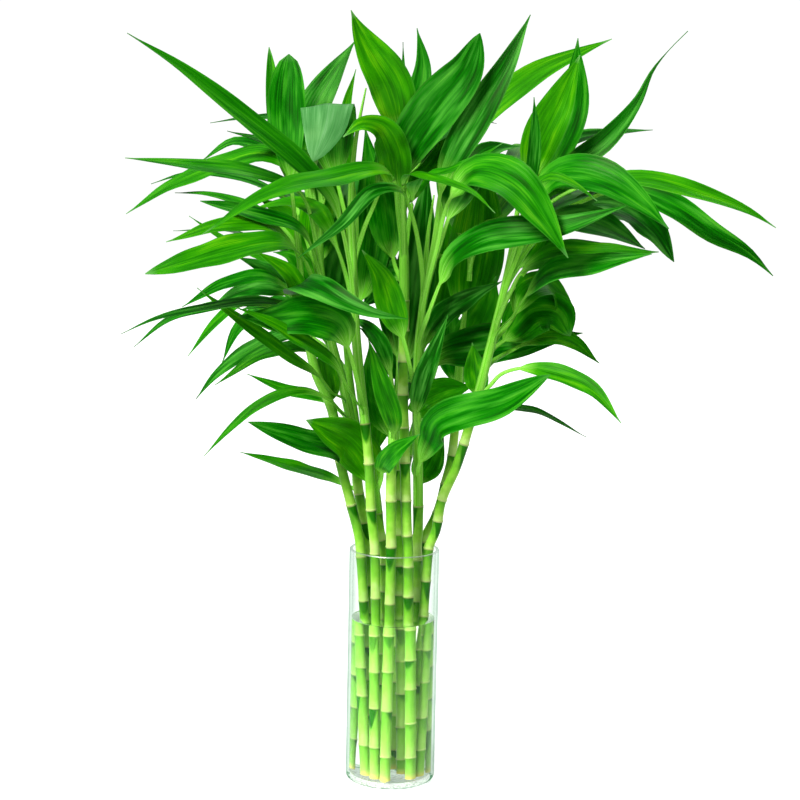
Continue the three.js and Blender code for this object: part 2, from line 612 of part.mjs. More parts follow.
function bladeWidth(share, { stemPart, width, tip }) {
  const stem = STEM_WIDTH + (STEM_NECK - STEM_WIDTH) * Math.min(share / Math.max(stemPart, 0.01), 1);
  const g = Math.min(Math.max(0, (share - stemPart) / (1 - stemPart)), 1);
  const widest = BASE_POWER / (BASE_POWER + tip);
  const blade = width * bladeShape(g, tip) / bladeShape(widest, tip);
  const fade = Math.max(0, 1 - g / NECK_LENGTH);
  return Math.max(blade, stem * Math.min(1, fade + NECK_LEFT), TIP_WIDTH);
}

function bladeThickness(share, stemPart) {
  const g = Math.min(share / (stemPart + THINNING), 1);
  return STEM_THICKNESS + (BLADE_THICKNESS - STEM_THICKNESS) * g;
}

function leafRings(run, face, leaf, stations) {
  const rings = [];
  let side = null;
  for (const share of stations) {
    const centre = run(share);
    const ahead = run(Math.min(share + 0.01, 1));
    const behind = run(Math.max(share - 0.01, 0));
    const direction = ahead.sub(behind).normalize();
    const across = face ? direction.clone().cross(face) : new THREE.Vector3(1, 0, 0);
    if (across.length() < 0.25 && side) {
      across.copy(side);
    }
    across.addScaledVector(direction, -across.dot(direction));
    across.normalize();
    side = across;
    const out = across.clone().cross(direction);
    const half = bladeWidth(share, leaf) / 2;
    const thick = bladeThickness(share, leaf.stemPart) / 2;
    const edge = FOLD * half;
    rings.push([
      [-half, edge + thick], [0, thick], [half, edge + thick],
      [half, edge - thick], [0, -thick], [-half, edge - thick],
    ].map(([a, b]) => centre.clone().addScaledVector(across, a).addScaledVector(out, b)));
  }
  return rings;
}

function bent(points, depth, lift) {
  const last = points.length - 1;
  return points.map((point, i) => {
    const share = i / last;
    return point.clone().add(new THREE.Vector3(0, depth * share, lift * share));
  });
}

function drawnLeaf(stalks, [letter, down, way, width, facing, stemPart, tip = TIP_POWER]) {
  const stalk = stalks[letter];
  const rootHeight = Math.min(stalk.heightOf(down), stalk.top - 2);
  const angle = facing * Math.PI / 180;
  const face = facing === "over" ? null : new THREE.Vector3(0, -Math.cos(angle), Math.sin(angle));
  const points = way.map(([across, drop, depth]) => fromFront([across, drop, depth * DEPTH_SPREAD]));
  return { stalk, rootHeight, points, width, face, stemPart, tip };
}

function backLeaf(stalks, [letter, rootHeight, length, compass, rise, droop, width]) {
  const stalk = stalks[letter];
  const turn = compass * Math.PI / 180;
  const climb = rise * Math.PI / 180;
  const out = new THREE.Vector3(Math.cos(turn), Math.sin(turn), 0);
  const root = stalk.at(rootHeight);
  const points = [0.35, 0.7, 1].map((share) => root.clone()
    .addScaledVector(out, length * share * Math.cos(climb * (1 - 0.5 * share)))
    .addScaledVector(UP, length * share * Math.sin(climb) - droop * share ** 2.5));
  const face = UP.clone().multiplyScalar(0.9).addScaledVector(out, -0.45).normalize();
  return { stalk, rootHeight, points, width, face, stemPart: 0.2, tip: TIP_POWER };
}

function leafSolid(leaf, depth, lift) {
  const root = leaf.stalk.at(leaf.rootHeight);
  const direction = leaf.stalk.along(leaf.rootHeight);
  const start = root.clone().addScaledVector(direction, -ROOT_DEPTH);
  const run = smoothRun(bent([start, ...leaf.points], depth, lift), direction);
  const reach = leaf.points[leaf.points.length - 1].distanceTo(root);
  const stations = reach < SHORT_LEAF ? SHORT_STATIONS : STATIONS;
  return closedTube(leafRings(run, leaf.face, leaf, stations));
}

// profile: [distance from the axis, height] from the axis back to the axis,
// up the outside first
function lathe(profile) {
  const outline = profile.map(([across, height]) => new THREE.Vector2(across, height));
  const turned = new THREE.LatheGeometry(outline, ROUND_SIDES).rotateX(Math.PI / 2);
  turned.deleteAttribute("normal");
  turned.deleteAttribute("uv");
  const merged = mergeVertices(turned);
  const index = merged.getIndex().array;
  const tris = [];
  for (let i = 0; i < index.length; i += 3) {
    const [a, b, c] = index.slice(i, i + 3);
    if (a !== b && b !== c && c !== a) {
      tris.push(a, b, c);
    }
  }
  return asSolid(merged.getAttribute("position").array, tris);
}

function arc(across, height, radius, from, to, steps) {
  const points = [];
  for (let i = 0; i <= steps; i += 1) {
    const angle = (from + (to - from) * i / steps) * Math.PI / 180;
    points.push([across + radius * Math.cos(angle), height + radius * Math.sin(angle)]);
  }
  return points;
}

function asMesh(name, solid, colour, roughness) {
  const mesh = solid.getMesh();
  const geometry = new THREE.BufferGeometry();
  const verts = new Float32Array(mesh.numVert * 3);
  for (let i = 0; i < mesh.numVert; i += 1) {
    for (let k = 0; k < 3; k += 1) {
      verts[3 * i + k] = mesh.vertProperties[i * mesh.numProp + k];
    }
  }
  geometry.setAttribute("position", new THREE.BufferAttribute(verts, 3));
  geometry.setIndex(new THREE.BufferAttribute(new Uint32Array(mesh.triVerts), 1));
  geometry.computeVertexNormals();
  const material = new THREE.MeshStandardMaterial({ color: colour, roughness, metalness: 0 });
  const out = new THREE.Mesh(geometry, material);
  out.name = name;
  return out;
}

function boxesMeet(a, b, room) {
  for (let k = 0; k < 3; k += 1) {
    if (a.min[k] - room > b.max[k] || b.min[k] - room > a.max[k]) {
      return false;
    }
  }
  return true;
}

function largestBody(solid) {
  const bodies = solid.decompose();
  return bodies.reduce((best, body) => (body.volume() > best.volume() ? body : best));
}

const wasm = await ManifoldModule();
wasm.setup();
Manifold = wasm.Manifold;
SolidMesh = wasm.Mesh;

const outer = VASE_DIAMETER / 2;
const inner = outer - VASE_WALL;
const vase = lathe([
  [0, 0],
  ...arc(outer - FOOT_ROUND, FOOT_ROUND, FOOT_ROUND, -90, 0, 2),
  ...arc(outer - LIP_ROUND, VASE_HEIGHT - LIP_ROUND, LIP_ROUND, 0, 90, 1),
  ...arc(inner + LIP_ROUND, VASE_HEIGHT - LIP_ROUND, LIP_ROUND, 90, 180, 1),
  ...arc(inner - FLOOR_ROUND, VASE_FLOOR + FLOOR_ROUND, FLOOR_ROUND, 0, -90, 1),
  [0, VASE_FLOOR],
]);

const stalks = {};
for (const [letter, spec] of Object.entries(STALKS)) {
  stalks[letter] = makeStalk(spec);
}

let water = lathe([
  [0, VASE_FLOOR + SEAM],
  ...arc(inner - FLOOR_ROUND, VASE_FLOOR + FLOOR_ROUND, FLOOR_ROUND - SEAM, -90, 0, 1),
  [inner - SEAM, WATER_LEVEL],
  [0, WATER_LEVEL],
]);
for (const stalk of Object.values(stalks)) {
  water = water.subtract(holeSolid(stalk));
}
water = largestBody(water);

const placed = [{ owner: "vase", solid: vase, box: vase.boundingBox() }];
const shoots = {};
for (const [letter, stalk] of Object.entries(stalks)) {
  stalk.cane = caneSolid(stalk);
  placed.push({ owner: `cane ${letter}`, solid: stalk.cane, box: stalk.cane.boundingBox() });
  const stem = shootStemSolid(stalk);
  shoots[letter] = [stem];
  placed.push({ owner: letter, solid: stem, box: stem.boundingBox() });
}

function isClear(solid, owner) {
  const box = solid.boundingBox();
  for (const other of placed) {
    if (other.owner === owner || !boxesMeet(box, other.box, LEAF_CLEARANCE)) {
      continue;
    }
    if (solid.minGap(other.solid, LEAF_CLEARANCE * 2) < LEAF_CLEARANCE) {
      return false;
    }
  }
  return true;
}

function placeLeaf(leaf, letter) {
  for (const lift of BENDS_LIFT) {
    for (const depth of BENDS_DEPTH) {
      const solid = leafSolid(leaf, depth, lift);
      if (isClear(solid, letter)) {
        shoots[letter].push(solid);
        placed.push({ owner: letter, solid, box: solid.boundingBox() });
        return;
      }
    }
  }
}

for (const row of LEAVES) {
  placeLeaf(drawnLeaf(stalks, row), row[0]);
}
for (const row of BACK_LEAVES) {
  placeLeaf(backLeaf(stalks, row), row[0]);
}

const group = new THREE.Group();
group.name = "lucky_bamboo";
group.add(asMesh("glass_vase", vase, 0xeef6f2, 0.05));
group.add(asMesh("water", water, 0xdff0ea, 0.05));
Object.keys(stalks).forEach((letter, index) => {
  const number = String(index + 1).padStart(2, "0");
  group.add(asMesh(`cane_${number}`, stalks[letter].cane, 0x9ad24a, 0.4));
  const shoot = largestBody(Manifold.union(shoots[letter]).asOriginal().simplify(SIMPLIFY));
  group.add(asMesh(`shoot_${number}`, shoot, 0x2f8f1e, 0.4));
});

export default group;
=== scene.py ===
"""Lucky bamboo in a clear glass cylinder of water: finish, floor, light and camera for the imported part."""

import math
import random

import bpy
import numpy as np
from mathutils import Matrix, Vector


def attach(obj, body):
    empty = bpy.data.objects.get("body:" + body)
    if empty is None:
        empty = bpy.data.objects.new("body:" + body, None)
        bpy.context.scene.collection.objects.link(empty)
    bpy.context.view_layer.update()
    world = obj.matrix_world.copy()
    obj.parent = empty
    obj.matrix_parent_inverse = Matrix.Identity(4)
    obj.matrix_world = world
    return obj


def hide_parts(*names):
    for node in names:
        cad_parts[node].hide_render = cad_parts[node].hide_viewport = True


MM = 0.001
SHARP_CANE, SHARP_LEAF, SHARP_GLASS = 50, 60, 40  # edges over this many degrees stay sharp

# ---- vase and water, in mm ----
VASE_DIAMETER = 82
VASE_HEIGHT = 215
VASE_WALL = 3
VASE_FLOOR = 5
FOOT_ROUND = 4  # the outer edge of the underside
FLOOR_ROUND = 2.5  # the corner inside
LIP_ROUND = 1.2
PUNT_RISE = 1.4  # the underside is hollow by this in the middle,
PUNT_EDGES = (14, 5, 2)  # and slopes down at these distances inside the foot ring
FOOT_LIFT = 0.05
HEEL_HEIGHT = 1.5  # the part of the outer edge of the underside that is tinted dark green in patches
BASE_REACH = 1  # the glass and water up to this far over the floor count as the base
SKIN = 0.1  # reach of a zone past the face that it marks
FLOOR_EASE = 10  # the inner floor is flat further in than this from the wall
WATER_LEVEL = 150
MENISCUS = [(0, 0.7), (0.4, 0.35), (1.2, 0)]  # distance from the wall and rise of the water's edge
LATHE_SIDES = 96
WATER_GRIP = 0.06  # the water reaches into the glass by this, so that no film of air shows

# ---- stalks, in mm ----
STALK_SIDES = 30
FOOT_GAP = 0.2
JOINT_GAP = 0.05
INTERNODE = [0.0, 0.04, 0.1, 0.2, 0.3, 0.4, 0.5, 0.58, 0.66, 0.74, 0.82, 0.89, 0.95, 0.98]
WAIST = 0.045  # an internode is slimmer by this share in the middle
WAIST_POWER = 0.7
FLARE = 0.035  # and wider by this share at its upper end
FLARE_FROM = 0.75
RING_ABOVE = 0.5  # an internode starts this far over a ring
RING_ROOM = 1.4  # height that its two rings take from it
RING_LINE = -0.2  # the next internode's colours start here, from the ring's height
RING_STEPS = [(-0.9, 1.05), (-0.5, 1.09), (-0.05, 1.1), (0.25, 1.0), (0.45, 0.985)]  # height, radius
CUT_STEPS = [(-0.4, 1.04), (0, 1.02)]  # the same at the top of a cane
SCAR_SHORT = 0.16  # a ring's dark scar reaches down its internode by this share,
SCAR_LENGTHS = (0.2, 0.62)  # and by up to this much further on its long side
SCAR_DEPTHS = (0.5, 1.15)  # how dark it is
SCAR_POWER = 1.5
SCAR_EDGE = 0.3
SCAR_DRIFT = 0.9  # how far, in radians, a scar's side strays from opposite the last one
SOAKED = 0.75  # how much a cane's colour turns, under water, to a flatter and more yellow one
FOOT_TINT = 6  # height over which the cut foot of a cane is yellow
SHOOT_SIZE = 0.97  # a shoot's middle stem is this share of its cane's radius
TOP_RADIUS = 0.7  # the point of the rolled leaf at the top of a shoot
TOP_TAPER = 2.5
STEM_STEP = 8  # height between a shoot's rings of points
ROOT_CLEAR = 2  # the last leaves leave a shoot this far below its top
HALVINGS = 40  # steps in the search for the height that shows at a place in the front view

# ---- leaves, in mm ----
BLADE_THICKNESS = 0.5
STEM_THICKNESS = 2.2
STEM_WIDTH = 5
STEM_NECK = 3.4
ROOT_DEPTH = 5
FOLD = 0.2  # how much a blade's halves rise from its midrib,
FOLD_ROUND = 0.03  # and how round the midrib is
FOLD_SINK = 0.09
TIP_WIDTH = 0.7
EDGE_THIN = 0.45  # a blade's edge is thinner by this share
RIPPLE_HEIGHTS = (0.06, 0.13)  # share of the blade's half width
RIPPLE_COUNTS = (1.6, 3.4)
WAVE_STARTS = 6.3
TWIST = 10  # degrees, either way, at the tip
TURN_LOOK = 0.01  # share of a leaf over which its direction is taken
SIDE_LEAST = 0.25  # a leaf that faces along its own way keeps the side it had
STEM_FADE = 6  # the stem's colour is gone after one such part of the blade
BASE_POWER = 0.75  # how round the blade's base is
TIP_POWER = 1.2  # how drawn out its tip is
DEPTH_SPREAD = 1.4  # the table's depths of the leaves are spread by this
NECK_LENGTH = 0.45  # share of the blade over which the stem's width fades
NECK_LEFT = 0.15  # share of it that is still there further out
THINNING = 0.12  # share of the leaf, past its stem, that is thicker than the blade
BACK_SHARES = (0.35, 0.7, 1)  # where the points of a back leaf's way are
BACK_EASE = 0.5  # how much a back leaf levels out
BACK_DROOP_POWER = 2.5
BACK_FACE = (0.9, 0.45)  # its upper side looks up and back to the stalk
BACK_STEM = 0.2  # its stem's share of its length
STATIONS = 34  # parts of a leaf along its length
STRIPS = 12  # and across its blade
TIP_REACH = 1.3  # a CAD leaf ends within this of its table's tip
# a CAD leaf that met another is bent by one of these, in depth and in height
BENDS_DEPTH = [0, 6, -6, 13, -13, 22, -22, 32, -32, 46, -46, 64, -64, 84, -84]
BENDS_LIFT = [0, 10, -10, 22, -22]
SEED = 12

# ---- light ----
ROOM_SEEN = 1.05  # the room's white walls, as the camera sees them
ROOM_LIGHT = 0.33  # and as light on the plant
ROOM_BELOW = 0.45  # share of it that comes from below
FLOOR_LIGHT = 0.45  # the lit floor's own light on the plant,
FLOOR_SEEN = 0.37  # and how much more of it the camera sees
KEY_SUN = ((0.75, 0.85, -0.95), 20, 4.5)  # direction, angle in degrees, strength
BACK_SUN = ((-0.5, -0.8, -1.0), 40, 0.6)

# ---- the front view: 800 wide and 800 high ----
VIEW_SIZE = 800
EYE_DISTANCE = 1600
EYE_HEIGHT = 550.7
EYE_PITCH = math.radians(7.104)
EYE_ROLL = math.radians(1.2)
EYE_FOCAL = 1784
EYE_SIDE = 2.5 * EYE_DISTANCE * math.cos(EYE_PITCH) / EYE_FOCAL

# ---- stalks: [name, foot, rim, radius, cut, path, rings] ----
# foot and rim: x and y in mm, on the vase's floor and at its rim; cut: where the leafy shoot begins
# path: points above the rim; rings: the cane's rings
# Cut, path and rings are in the front view: across, down, and then the depth in mm
STALKS = [
    ["A", [-18, -9], [-31, -3], 4.6, 418, [[351, 504, -6], [341, 465, -8], [332, 410, -10], [315, 370, -10],
        [302, 298, -5], [300, 250, 0], [298, 215, 2]], [742, 693, 665, 633, 600, 556, 504, 460]],
    ["B", [-9.5, 6.5], [-25, 8], 4.6, 434, [[364, 522, 9], [359, 493, 10], [352, 428, 10], [343, 385, 8],
        [330, 335, 4], [322, 280, 0], [321, 222, -4], [326, 190, -6]], [748, 710, 675, 643, 611, 584, 553,
        522, 493, 461]],
    ["C", [-12, -20], [-17.5, -22], 4.5, 423, [[371, 509, -24], [369, 463, -26], [365, 423, -26],
        [359, 370, -25], [355, 320, -22], [353, 262, -16], [351, 200, -14], [355, 145, -14], [366, 88, -12]],
        [745, 706, 670, 634, 597, 553, 509, 463]],
    ["D", [-7.5, -5], [-9.5, -8], 4.3, 512, [[380, 530, -12], [376, 490, -18], [375, 468, -20]], [748, 715,
        680, 650, 618, 590, 563, 538]],
    ["E", [-4, -27], [-3, -26], 4.7, 450, [[391, 530, -27], [391, 480, -29], [393, 440, -32],
        [394, 405, -34]], [755, 709, 670, 634, 603, 546, 500]],
    ["F", [8.5, 3], [4.5, 9], 4.3, 470, [[399, 535, 12], [399, 499, 16], [398, 455, 24], [396, 425, 30],
        [395, 400, 34]], [754, 722, 689, 657, 625, 594, 565, 535, 499]],
    ["G", [17, -19], [12.5, -18], 4.8, 300, [[407, 535, -18], [405, 462, -17], [403, 394, -13],
        [404, 320, -9], [404, 260, -8], [402, 190, -12], [402, 165, -14]], [755, 721, 687, 658, 628, 596,
        566, 535, 500, 462, 427, 394, 361, 330]],
    ["H", [30, 1], [20.5, 6], 4.8, 505, [[418, 530, 5], [418, 465, -1], [417, 400, -8], [418, 350, -12],
        [423, 300, -18], [428, 235, -24], [434, 195, -26]], [727, 696, 664, 632, 600, 559]],
    ["I", [9.5, 16], [26, 18], 4.3, 410, [[437, 513, 22], [445, 484, 27], [452, 455, 32], [457, 400, 38],
        [462, 335, 46], [468, 290, 52]], [745, 712, 680, 645, 610, 575, 541, 513, 484, 455]],
    ["J", [23, -10], [31, -4], 4.5, 422, [[436, 530, -5], [442, 499, -8], [457, 465, -12], [477, 398, -18],
        [492, 340, -20], [505, 285, -20], [514, 235, -18], [520, 190, -16]], [747, 715, 680, 648, 615, 580,
        548, 520, 499, 443]],
    ["K", [-26, 10], [-17, 25.5], 4.5, 500, [[358, 490, 32], [357, 440, 40], [351, 390, 50], [346, 345, 60],
        [341, 290, 68]], [735, 704, 672, 640, 605, 570, 535]],
    ["L", [2, 24], [2, 27], 4.5, 455, [[399, 520, 32], [408, 455, 46], [424, 400, 58], [440, 350, 70],
        [448, 318, 78]], [742, 708, 675, 640, 606, 570, 534, 495]],
]

# ---- leaves: [stalk, how far down its root is, points on its way, width, facing, stem part, tip] ----
# facing: 0 shows the upper side to the front, 90 to the sky; "over" bows over to the front
# tip: less than TIP_POWER for a blunt leaf, more for one with a thin tail
LEAVES = [
    ["A", 309, [[297, 293, -40], [301, 284, -60], [320, 289, -80], [346, 303, -92], [376, 314, -100],
        [408, 319, -104]], 27, 35, 0.1],
    ["G", 285, [[398, 215, -16], [388, 172, -44], [330, 179, -68], [270, 193, -90], [203, 234, -105]], 24,
        45, 0.35],
    ["G", 190, [[399, 160, -20], [399, 120, -28], [391, 86, -34], [375, 58, -37], [358, 28, -39],
        [351, 10, -42]], 38, 10, 0.33],
    ["G", 194, [[410, 145, -26], [437, 106, -38], [467, 69, -42], [480, 33, -44]], 43, 10, 0.12, 0.8],
    ["H", 318, [[434, 240, -26], [446, 172, -38], [476, 118, -42], [506, 66, -42], [531, 14, -40]], 28, 15,
        0.42],
    ["H", 300, [[420, 255, -24], [410, 210, -38], [400, 190, -50], [375, 191, -62], [345, 222, -74],
        [298, 258, -84]], 15, 40, 0.45],
    ["C", 330, [[349, 262, -20], [341, 225, -30], [334, 202, -38], [300, 163, -52], [240, 113, -66],
        [180, 66, -74], [127, 33, -80]], 20, 35, 0.3],
    ["J", 300, [[524, 240, -30], [540, 192, -50], [562, 174, -64], [602, 179, -78], [640, 202, -88],
        [669, 229, -94]], 38, 38, 0.42],
    ["J", 290, [[528, 228, -20], [552, 202, -30], [590, 184, -38], [640, 179, -44], [700, 193, -50],
        [756, 215, -50], [776, 228, -50]], 20, 45, 0.43],
    ["J", 296, [[533, 235, 0], [575, 205, 6], [630, 190, 0], [672, 206, -8], [716, 235, -14],
        [752, 256, -18], [773, 276, -20]], 24, 30, 0.48],
    ["H", 350, [[431, 308, -36], [441, 282, -50], [452, 260, -62], [480, 240, -78], [550, 230, -96],
        [626, 206, -110]], 33, 40, 0.32],
    ["H", 322, [[436, 252, -40], [452, 196, -62], [476, 172, -78], [513, 184, -96], [545, 222, -108],
        [568, 258, -114]], 42, 35, 0.48],
    ["B", 330, [[311, 275, -28], [298, 252, -48], [284, 243, -60], [230, 250, -78], [185, 263, -88],
        [145, 274, -92]], 27, 42, 0.42, 0.8],
    ["C", 412, [[357, 380, -36], [348, 348, -44], [338, 326, -52], [312, 317, -56], [275, 319, -58],
        [238, 316, -58]], 38, 25, 0.42],
    ["C", 414, [[355, 400, -34], [346, 385, -42], [336, 366, -50], [300, 340, -60], [262, 318, -66],
        [235, 307, -68]], 16, 45, 0.36],
    ["D", 492, [[381, 479, -16], [384, 465, -32], [397, 449, -42], [420, 433, -48]], 19, 25, 0.32],
    ["H", 478, [[420, 462, -30], [430, 441, -46], [439, 424, -60], [464, 414, -72], [506, 401, -86],
        [550, 375, -104]], 34, 30, 0.22, 0.8],
    ["J", 262, [[528, 195, -26], [537, 150, -34], [560, 100, -36], [580, 55, -36]], 34, 15, 0.42],
    ["J", 280, [[532, 205, 4], [550, 160, 12], [572, 108, 12], [578, 38, 10]], 34, 20, 0.42],
    ["J", 270, [[538, 200, -4], [572, 165, -14], [604, 142, -18], [638, 101, -22], [653, 70, -22],
        [670, 49, -22], [688, 31, -22]], 21, 25, 0.36, 2.6],
    ["H", 330, [[435, 250, 0], [450, 178, 14], [484, 116, 26], [531, 77, 36], [581, 52, 42], [612, 39, 46]],
        26, 30, 0.5],
    ["J", 335, [[511, 292, -30], [522, 272, -40], [540, 260, -50], [600, 254, -60], [659, 252, -66]], 27, 42,
        0.38],
    ["J", 345, [[516, 312, -44], [530, 291, -60], [545, 276, -72], [598, 264, -88], [652, 254, -98]], 27, 42,
        0.4],
    ["J", 404, [[491, 385, -30], [502, 374, -38], [517, 369, -44], [552, 372, -56], [593, 390, -68],
        [621, 423, -80]], 18, 38, 0.4],
    ["H", 400, [[428, 374, 2], [438, 358, 8], [480, 347, 14], [530, 339, 20], [583, 333, 24]], 40, 28, 0.2],
    ["H", 442, [[416, 410, -24], [424, 376, -34], [436, 346, -40], [448, 315, -44]], 18, 15, 0.3],
    ["H", 405, [[411, 372, -30], [402, 335, -36], [394, 315, -40], [380, 275, -40], [362, 250, -40]], 26, 20,
        0.5],
    ["D", 494, [[374, 482, -8], [366, 463, -9], [351, 444, -14], [327, 430, -26], [306, 420, -32]], 40, 20,
        0.12, 1],
    ["D", 498, [[370, 484, -4], [356, 467, -8], [340, 453, -14], [300, 440, -34], [248, 422, -48]], 26, 35,
        0.2, 0.9],
    ["E", 442, [[393, 420, -40], [385, 395, -46], [368, 338, -50]], 19, 20, 0.15],
    ["E", 444, [[394, 405, -38], [389, 368, -30], [377, 337, -14], [362, 323, -2], [341, 320, 10]], 15, 60,
        0.45],
    ["A", 300, [[297, 240, -8], [291, 180, -12], [287, 120, -6], [289, 54, 0]], 34, 10, 0.5, 0.55],
    ["B", 300, [[313, 225, 16], [304, 165, 24], [312, 112, 26], [333, 75, 30], [355, 41, 34]], 32, 30, 0.5],
    ["C", 300, [[347, 225, 0], [334, 165, 2], [329, 113, -14], [327, 103, -26], [323, 128, -38],
        [313, 162, -43]], 48, "over", 0.45, 0.75],
    ["C", 310, [[350, 225, 8], [342, 145, 26], [305, 122, 36], [250, 118, 32], [210, 123, 28]], 17, 60, 0.5],
    ["G", 270, [[403, 212, -24], [404, 180, -42], [440, 181, -82], [475, 194, -100], [495, 213, -108]], 13,
        55, 0.4],
    ["G", 275, [[412, 205, -16], [418, 180, -40], [445, 172, -56], [475, 160, -64], [503, 143, -66]], 18, 60,
        0.4],
    ["G", 215, [[404, 120, 12], [403, 42, 18]], 9, 20, 0.2],
    ["G", 225, [[404, 150, 24], [416, 105, 36], [423, 66, 40], [417, 28, 44]], 26, 20, 0.3],
    ["G", 235, [[418, 170, 18], [438, 146, 30], [448, 122, 38]], 32, 30, 0.25],
    ["G", 225, [[396, 178, -24], [391, 150, -34], [378, 128, -42], [361, 125, -48], [343, 137, -50]], 32, 25,
        0.28],
    ["C", 268, [[363, 232, -8], [378, 195, 0], [392, 140, 8], [404, 66, 12]], 24, 20, 0.4],
    ["C", 290, [[356, 210, 14], [348, 150, 22], [346, 110, 26], [356, 69, 28]], 13, 20, 0.5],
    ["C", 338, [[347, 280, -14], [336, 246, -20], [322, 218, -22], [308, 206, -6], [280, 203, 10],
        [248, 211, 16]], 20, 50, 0.42],
    ["J", 275, [[524, 210, -40], [533, 165, -50], [535, 130, -54], [534, 97, -56]], 12, 30, 0.5],
    ["J", 282, [[527, 215, 10], [545, 160, 24], [575, 139, 34], [610, 133, 38], [653, 130, 38]], 17, 52,
        0.5],
    ["J", 292, [[545, 232, 12], [580, 208, 26], [614, 206, 36], [653, 230, 40], [674, 262, 42]], 37, 42,
        0.45, 0.9],
    ["J", 298, [[530, 247, -28], [550, 222, -40], [577, 219, -48], [613, 231, -54], [645, 249, -60]], 34, 42,
        0.48],
    ["J", 320, [[518, 282, 18], [535, 262, 30], [567, 250, 42], [633, 249, 50]], 22, 50, 0.4],
    ["J", 350, [[513, 318, 2], [528, 291, 10], [546, 286, 18], [561, 303, 24], [569, 338, 26]], 35, 50,
        0.33],
    ["J", 358, [[514, 332, 16], [534, 312, 26], [553, 312, 32], [568, 334, 34]], 46, 30, 0.3, 0.8],
    ["J", 372, [[512, 350, 10], [540, 338, 18], [565, 338, 24], [598, 362, 22]], 19, 40, 0.42],
    ["J", 285, [[524, 220, -50], [532, 190, -74], [550, 177, -84], [578, 187, -90], [597, 201, -92]], 13, 50,
        0.5],
    ["H", 325, [[440, 245, -8], [466, 180, 6], [490, 151, 12], [520, 146, 18]], 34, 45, 0.5],
    ["H", 412, [[421, 405, -18], [440, 395, -18], [474, 389, -14]], 33, 35, 0.05],
    ["H", 375, [[428, 338, -4], [445, 314, 2], [470, 298, 6], [503, 281, 8]], 25, 50, 0.25],
    ["I", 350, [[467, 305, 50], [476, 250, 58], [480, 200, 60], [483, 150, 62]], 54, 10, 0.2],
    ["F", 425, [[398, 360, 48], [394, 300, 60], [380, 255, 64], [362, 218, 66]], 36, 20, 0.35],
    ["B", 285, [[314, 220, 24], [296, 165, 42], [262, 125, 56], [222, 92, 66]], 14, 50, 0.5],
    ["B", 297, [[303, 228, 36], [280, 150, 57], [269, 47, 74]], 15, 25, 0.5, 0.8],
    ["B", 310, [[316, 240, -12], [300, 193, -22], [250, 173, -34], [200, 166, -40], [126, 158, -46]], 20, 55,
        0.4],
    ["B", 300, [[316, 225, 14], [300, 174, 26], [262, 155, 34], [215, 168, 36], [171, 186, 36],
        [126, 214, 36]], 27, 48, 0.4],
    ["B", 290, [[314, 212, 40], [297, 168, 64], [262, 148, 74], [235, 142, 78], [200, 162, 80]], 18, 50,
        0.55],
    ["B", 280, [[316, 205, 28], [302, 168, 40], [270, 144, 30], [227, 131, 18]], 14, 45, 0.45],
    ["B", 314, [[310, 247, 31], [295, 207, 58], [240, 178, 76], [180, 175, 84], [151, 184, 86]], 10, 55,
        0.5],
    ["B", 318, [[316, 262, -10], [302, 231, -22], [262, 216, -30], [226, 207, -34], [200, 201, -36]], 19, 50,
        0.42, 0.9],
    ["A", 300, [[296, 252, -14], [270, 227, -30], [235, 224, -38], [166, 242, -46]], 20, 48, 0.36],
    ["A", 296, [[292, 240, 6], [252, 208, 20], [205, 194, 26], [173, 193, 28]], 11, 55, 0.4],
    ["A", 310, [[292, 272, 12], [262, 258, 30], [222, 238, 36], [189, 216, 42]], 9, 50, 0.35],
    ["A", 330, [[296, 299, -16], [284, 286, -26], [264, 277, -36], [225, 284, -44], [182, 307, -54]], 16, 48,
        0.33],
    ["A", 340, [[294, 308, -42], [262, 301, -56], [206, 308, -70], [152, 320, -76], [121, 334, -78]], 13, 55,
        0.25],
    ["A", 350, [[296, 320, 4], [258, 304, 18], [220, 306, 22], [165, 322, 26], [134, 347, 28]], 14, 55, 0.3],
    ["A", 320, [[290, 294, 6], [268, 288, 10], [240, 292, 12], [214, 304, 12]], 23, 45, 0.3],
    ["A", 345, [[306, 311, -27], [290, 275, -32], [255, 251, -36]], 18, 40, 0.4],
    ["A", 360, [[288, 325, 30], [243, 303, 48], [218, 320, 56], [188, 356, 62]], 13, 45, 0.4],
    ["B", 402, [[331, 392, -14], [318, 376, -26], [290, 357, -40], [240, 320, -54], [197, 288, -62]], 14, 42,
        0.3],
    ["B", 360, [[308, 322, 20], [276, 304, 30], [240, 310, 34]], 23, 60, 0.35],
    ["B", 330, [[308, 278, 24], [290, 256, 30], [273, 252, 32]], 20, 40, 0.4],
    ["B", 424, [[340, 411, -8], [328, 399, -20], [305, 391, -24], [287, 393, -26], [259, 405, -28],
        [233, 426, -28], [204, 456, -28]], 11, 42, 0.3],
    ["K", 490, [[341, 483, 26], [300, 469, 16], [240, 452, 6]], 16, 55, 0.12],
    ["K", 440, [[325, 400, 46], [290, 391, 48], [247, 374, 48]], 13, 42, 0.35],
    ["K", 425, [[332, 372, 46], [312, 350, 54], [270, 352, 60], [215, 385, 64]], 15, 42, 0.4],
    ["K", 410, [[322, 352, 62], [292, 335, 76], [250, 350, 84], [214, 377, 88], [196, 399, 90]], 18, 42,
        0.38],
    ["K", 390, [[300, 330, 88], [262, 312, 98], [239, 327, 104], [222, 363, 106]], 18, 38, 0.42],
    ["F", 440, [[388, 412, 38], [379, 420, 42], [375, 454, 44]], 36, 25, 0.3],
    ["F", 450, [[386, 430, 20], [374, 392, 24], [369, 345, 28]], 26, 20, 0.2],
    ["L", 420, [[436, 410, 52], [480, 408, 56], [532, 410, 58], [586, 437, 58]], 9, 50, 0.35],
    ["L", 350, [[440, 315, 80], [446, 270, 82], [450, 215, 84]], 42, 10, 0.15],
    ["F", 415, [[404, 370, 48], [412, 300, 52], [421, 235, 54], [428, 168, 56]], 40, 8, 0.25],
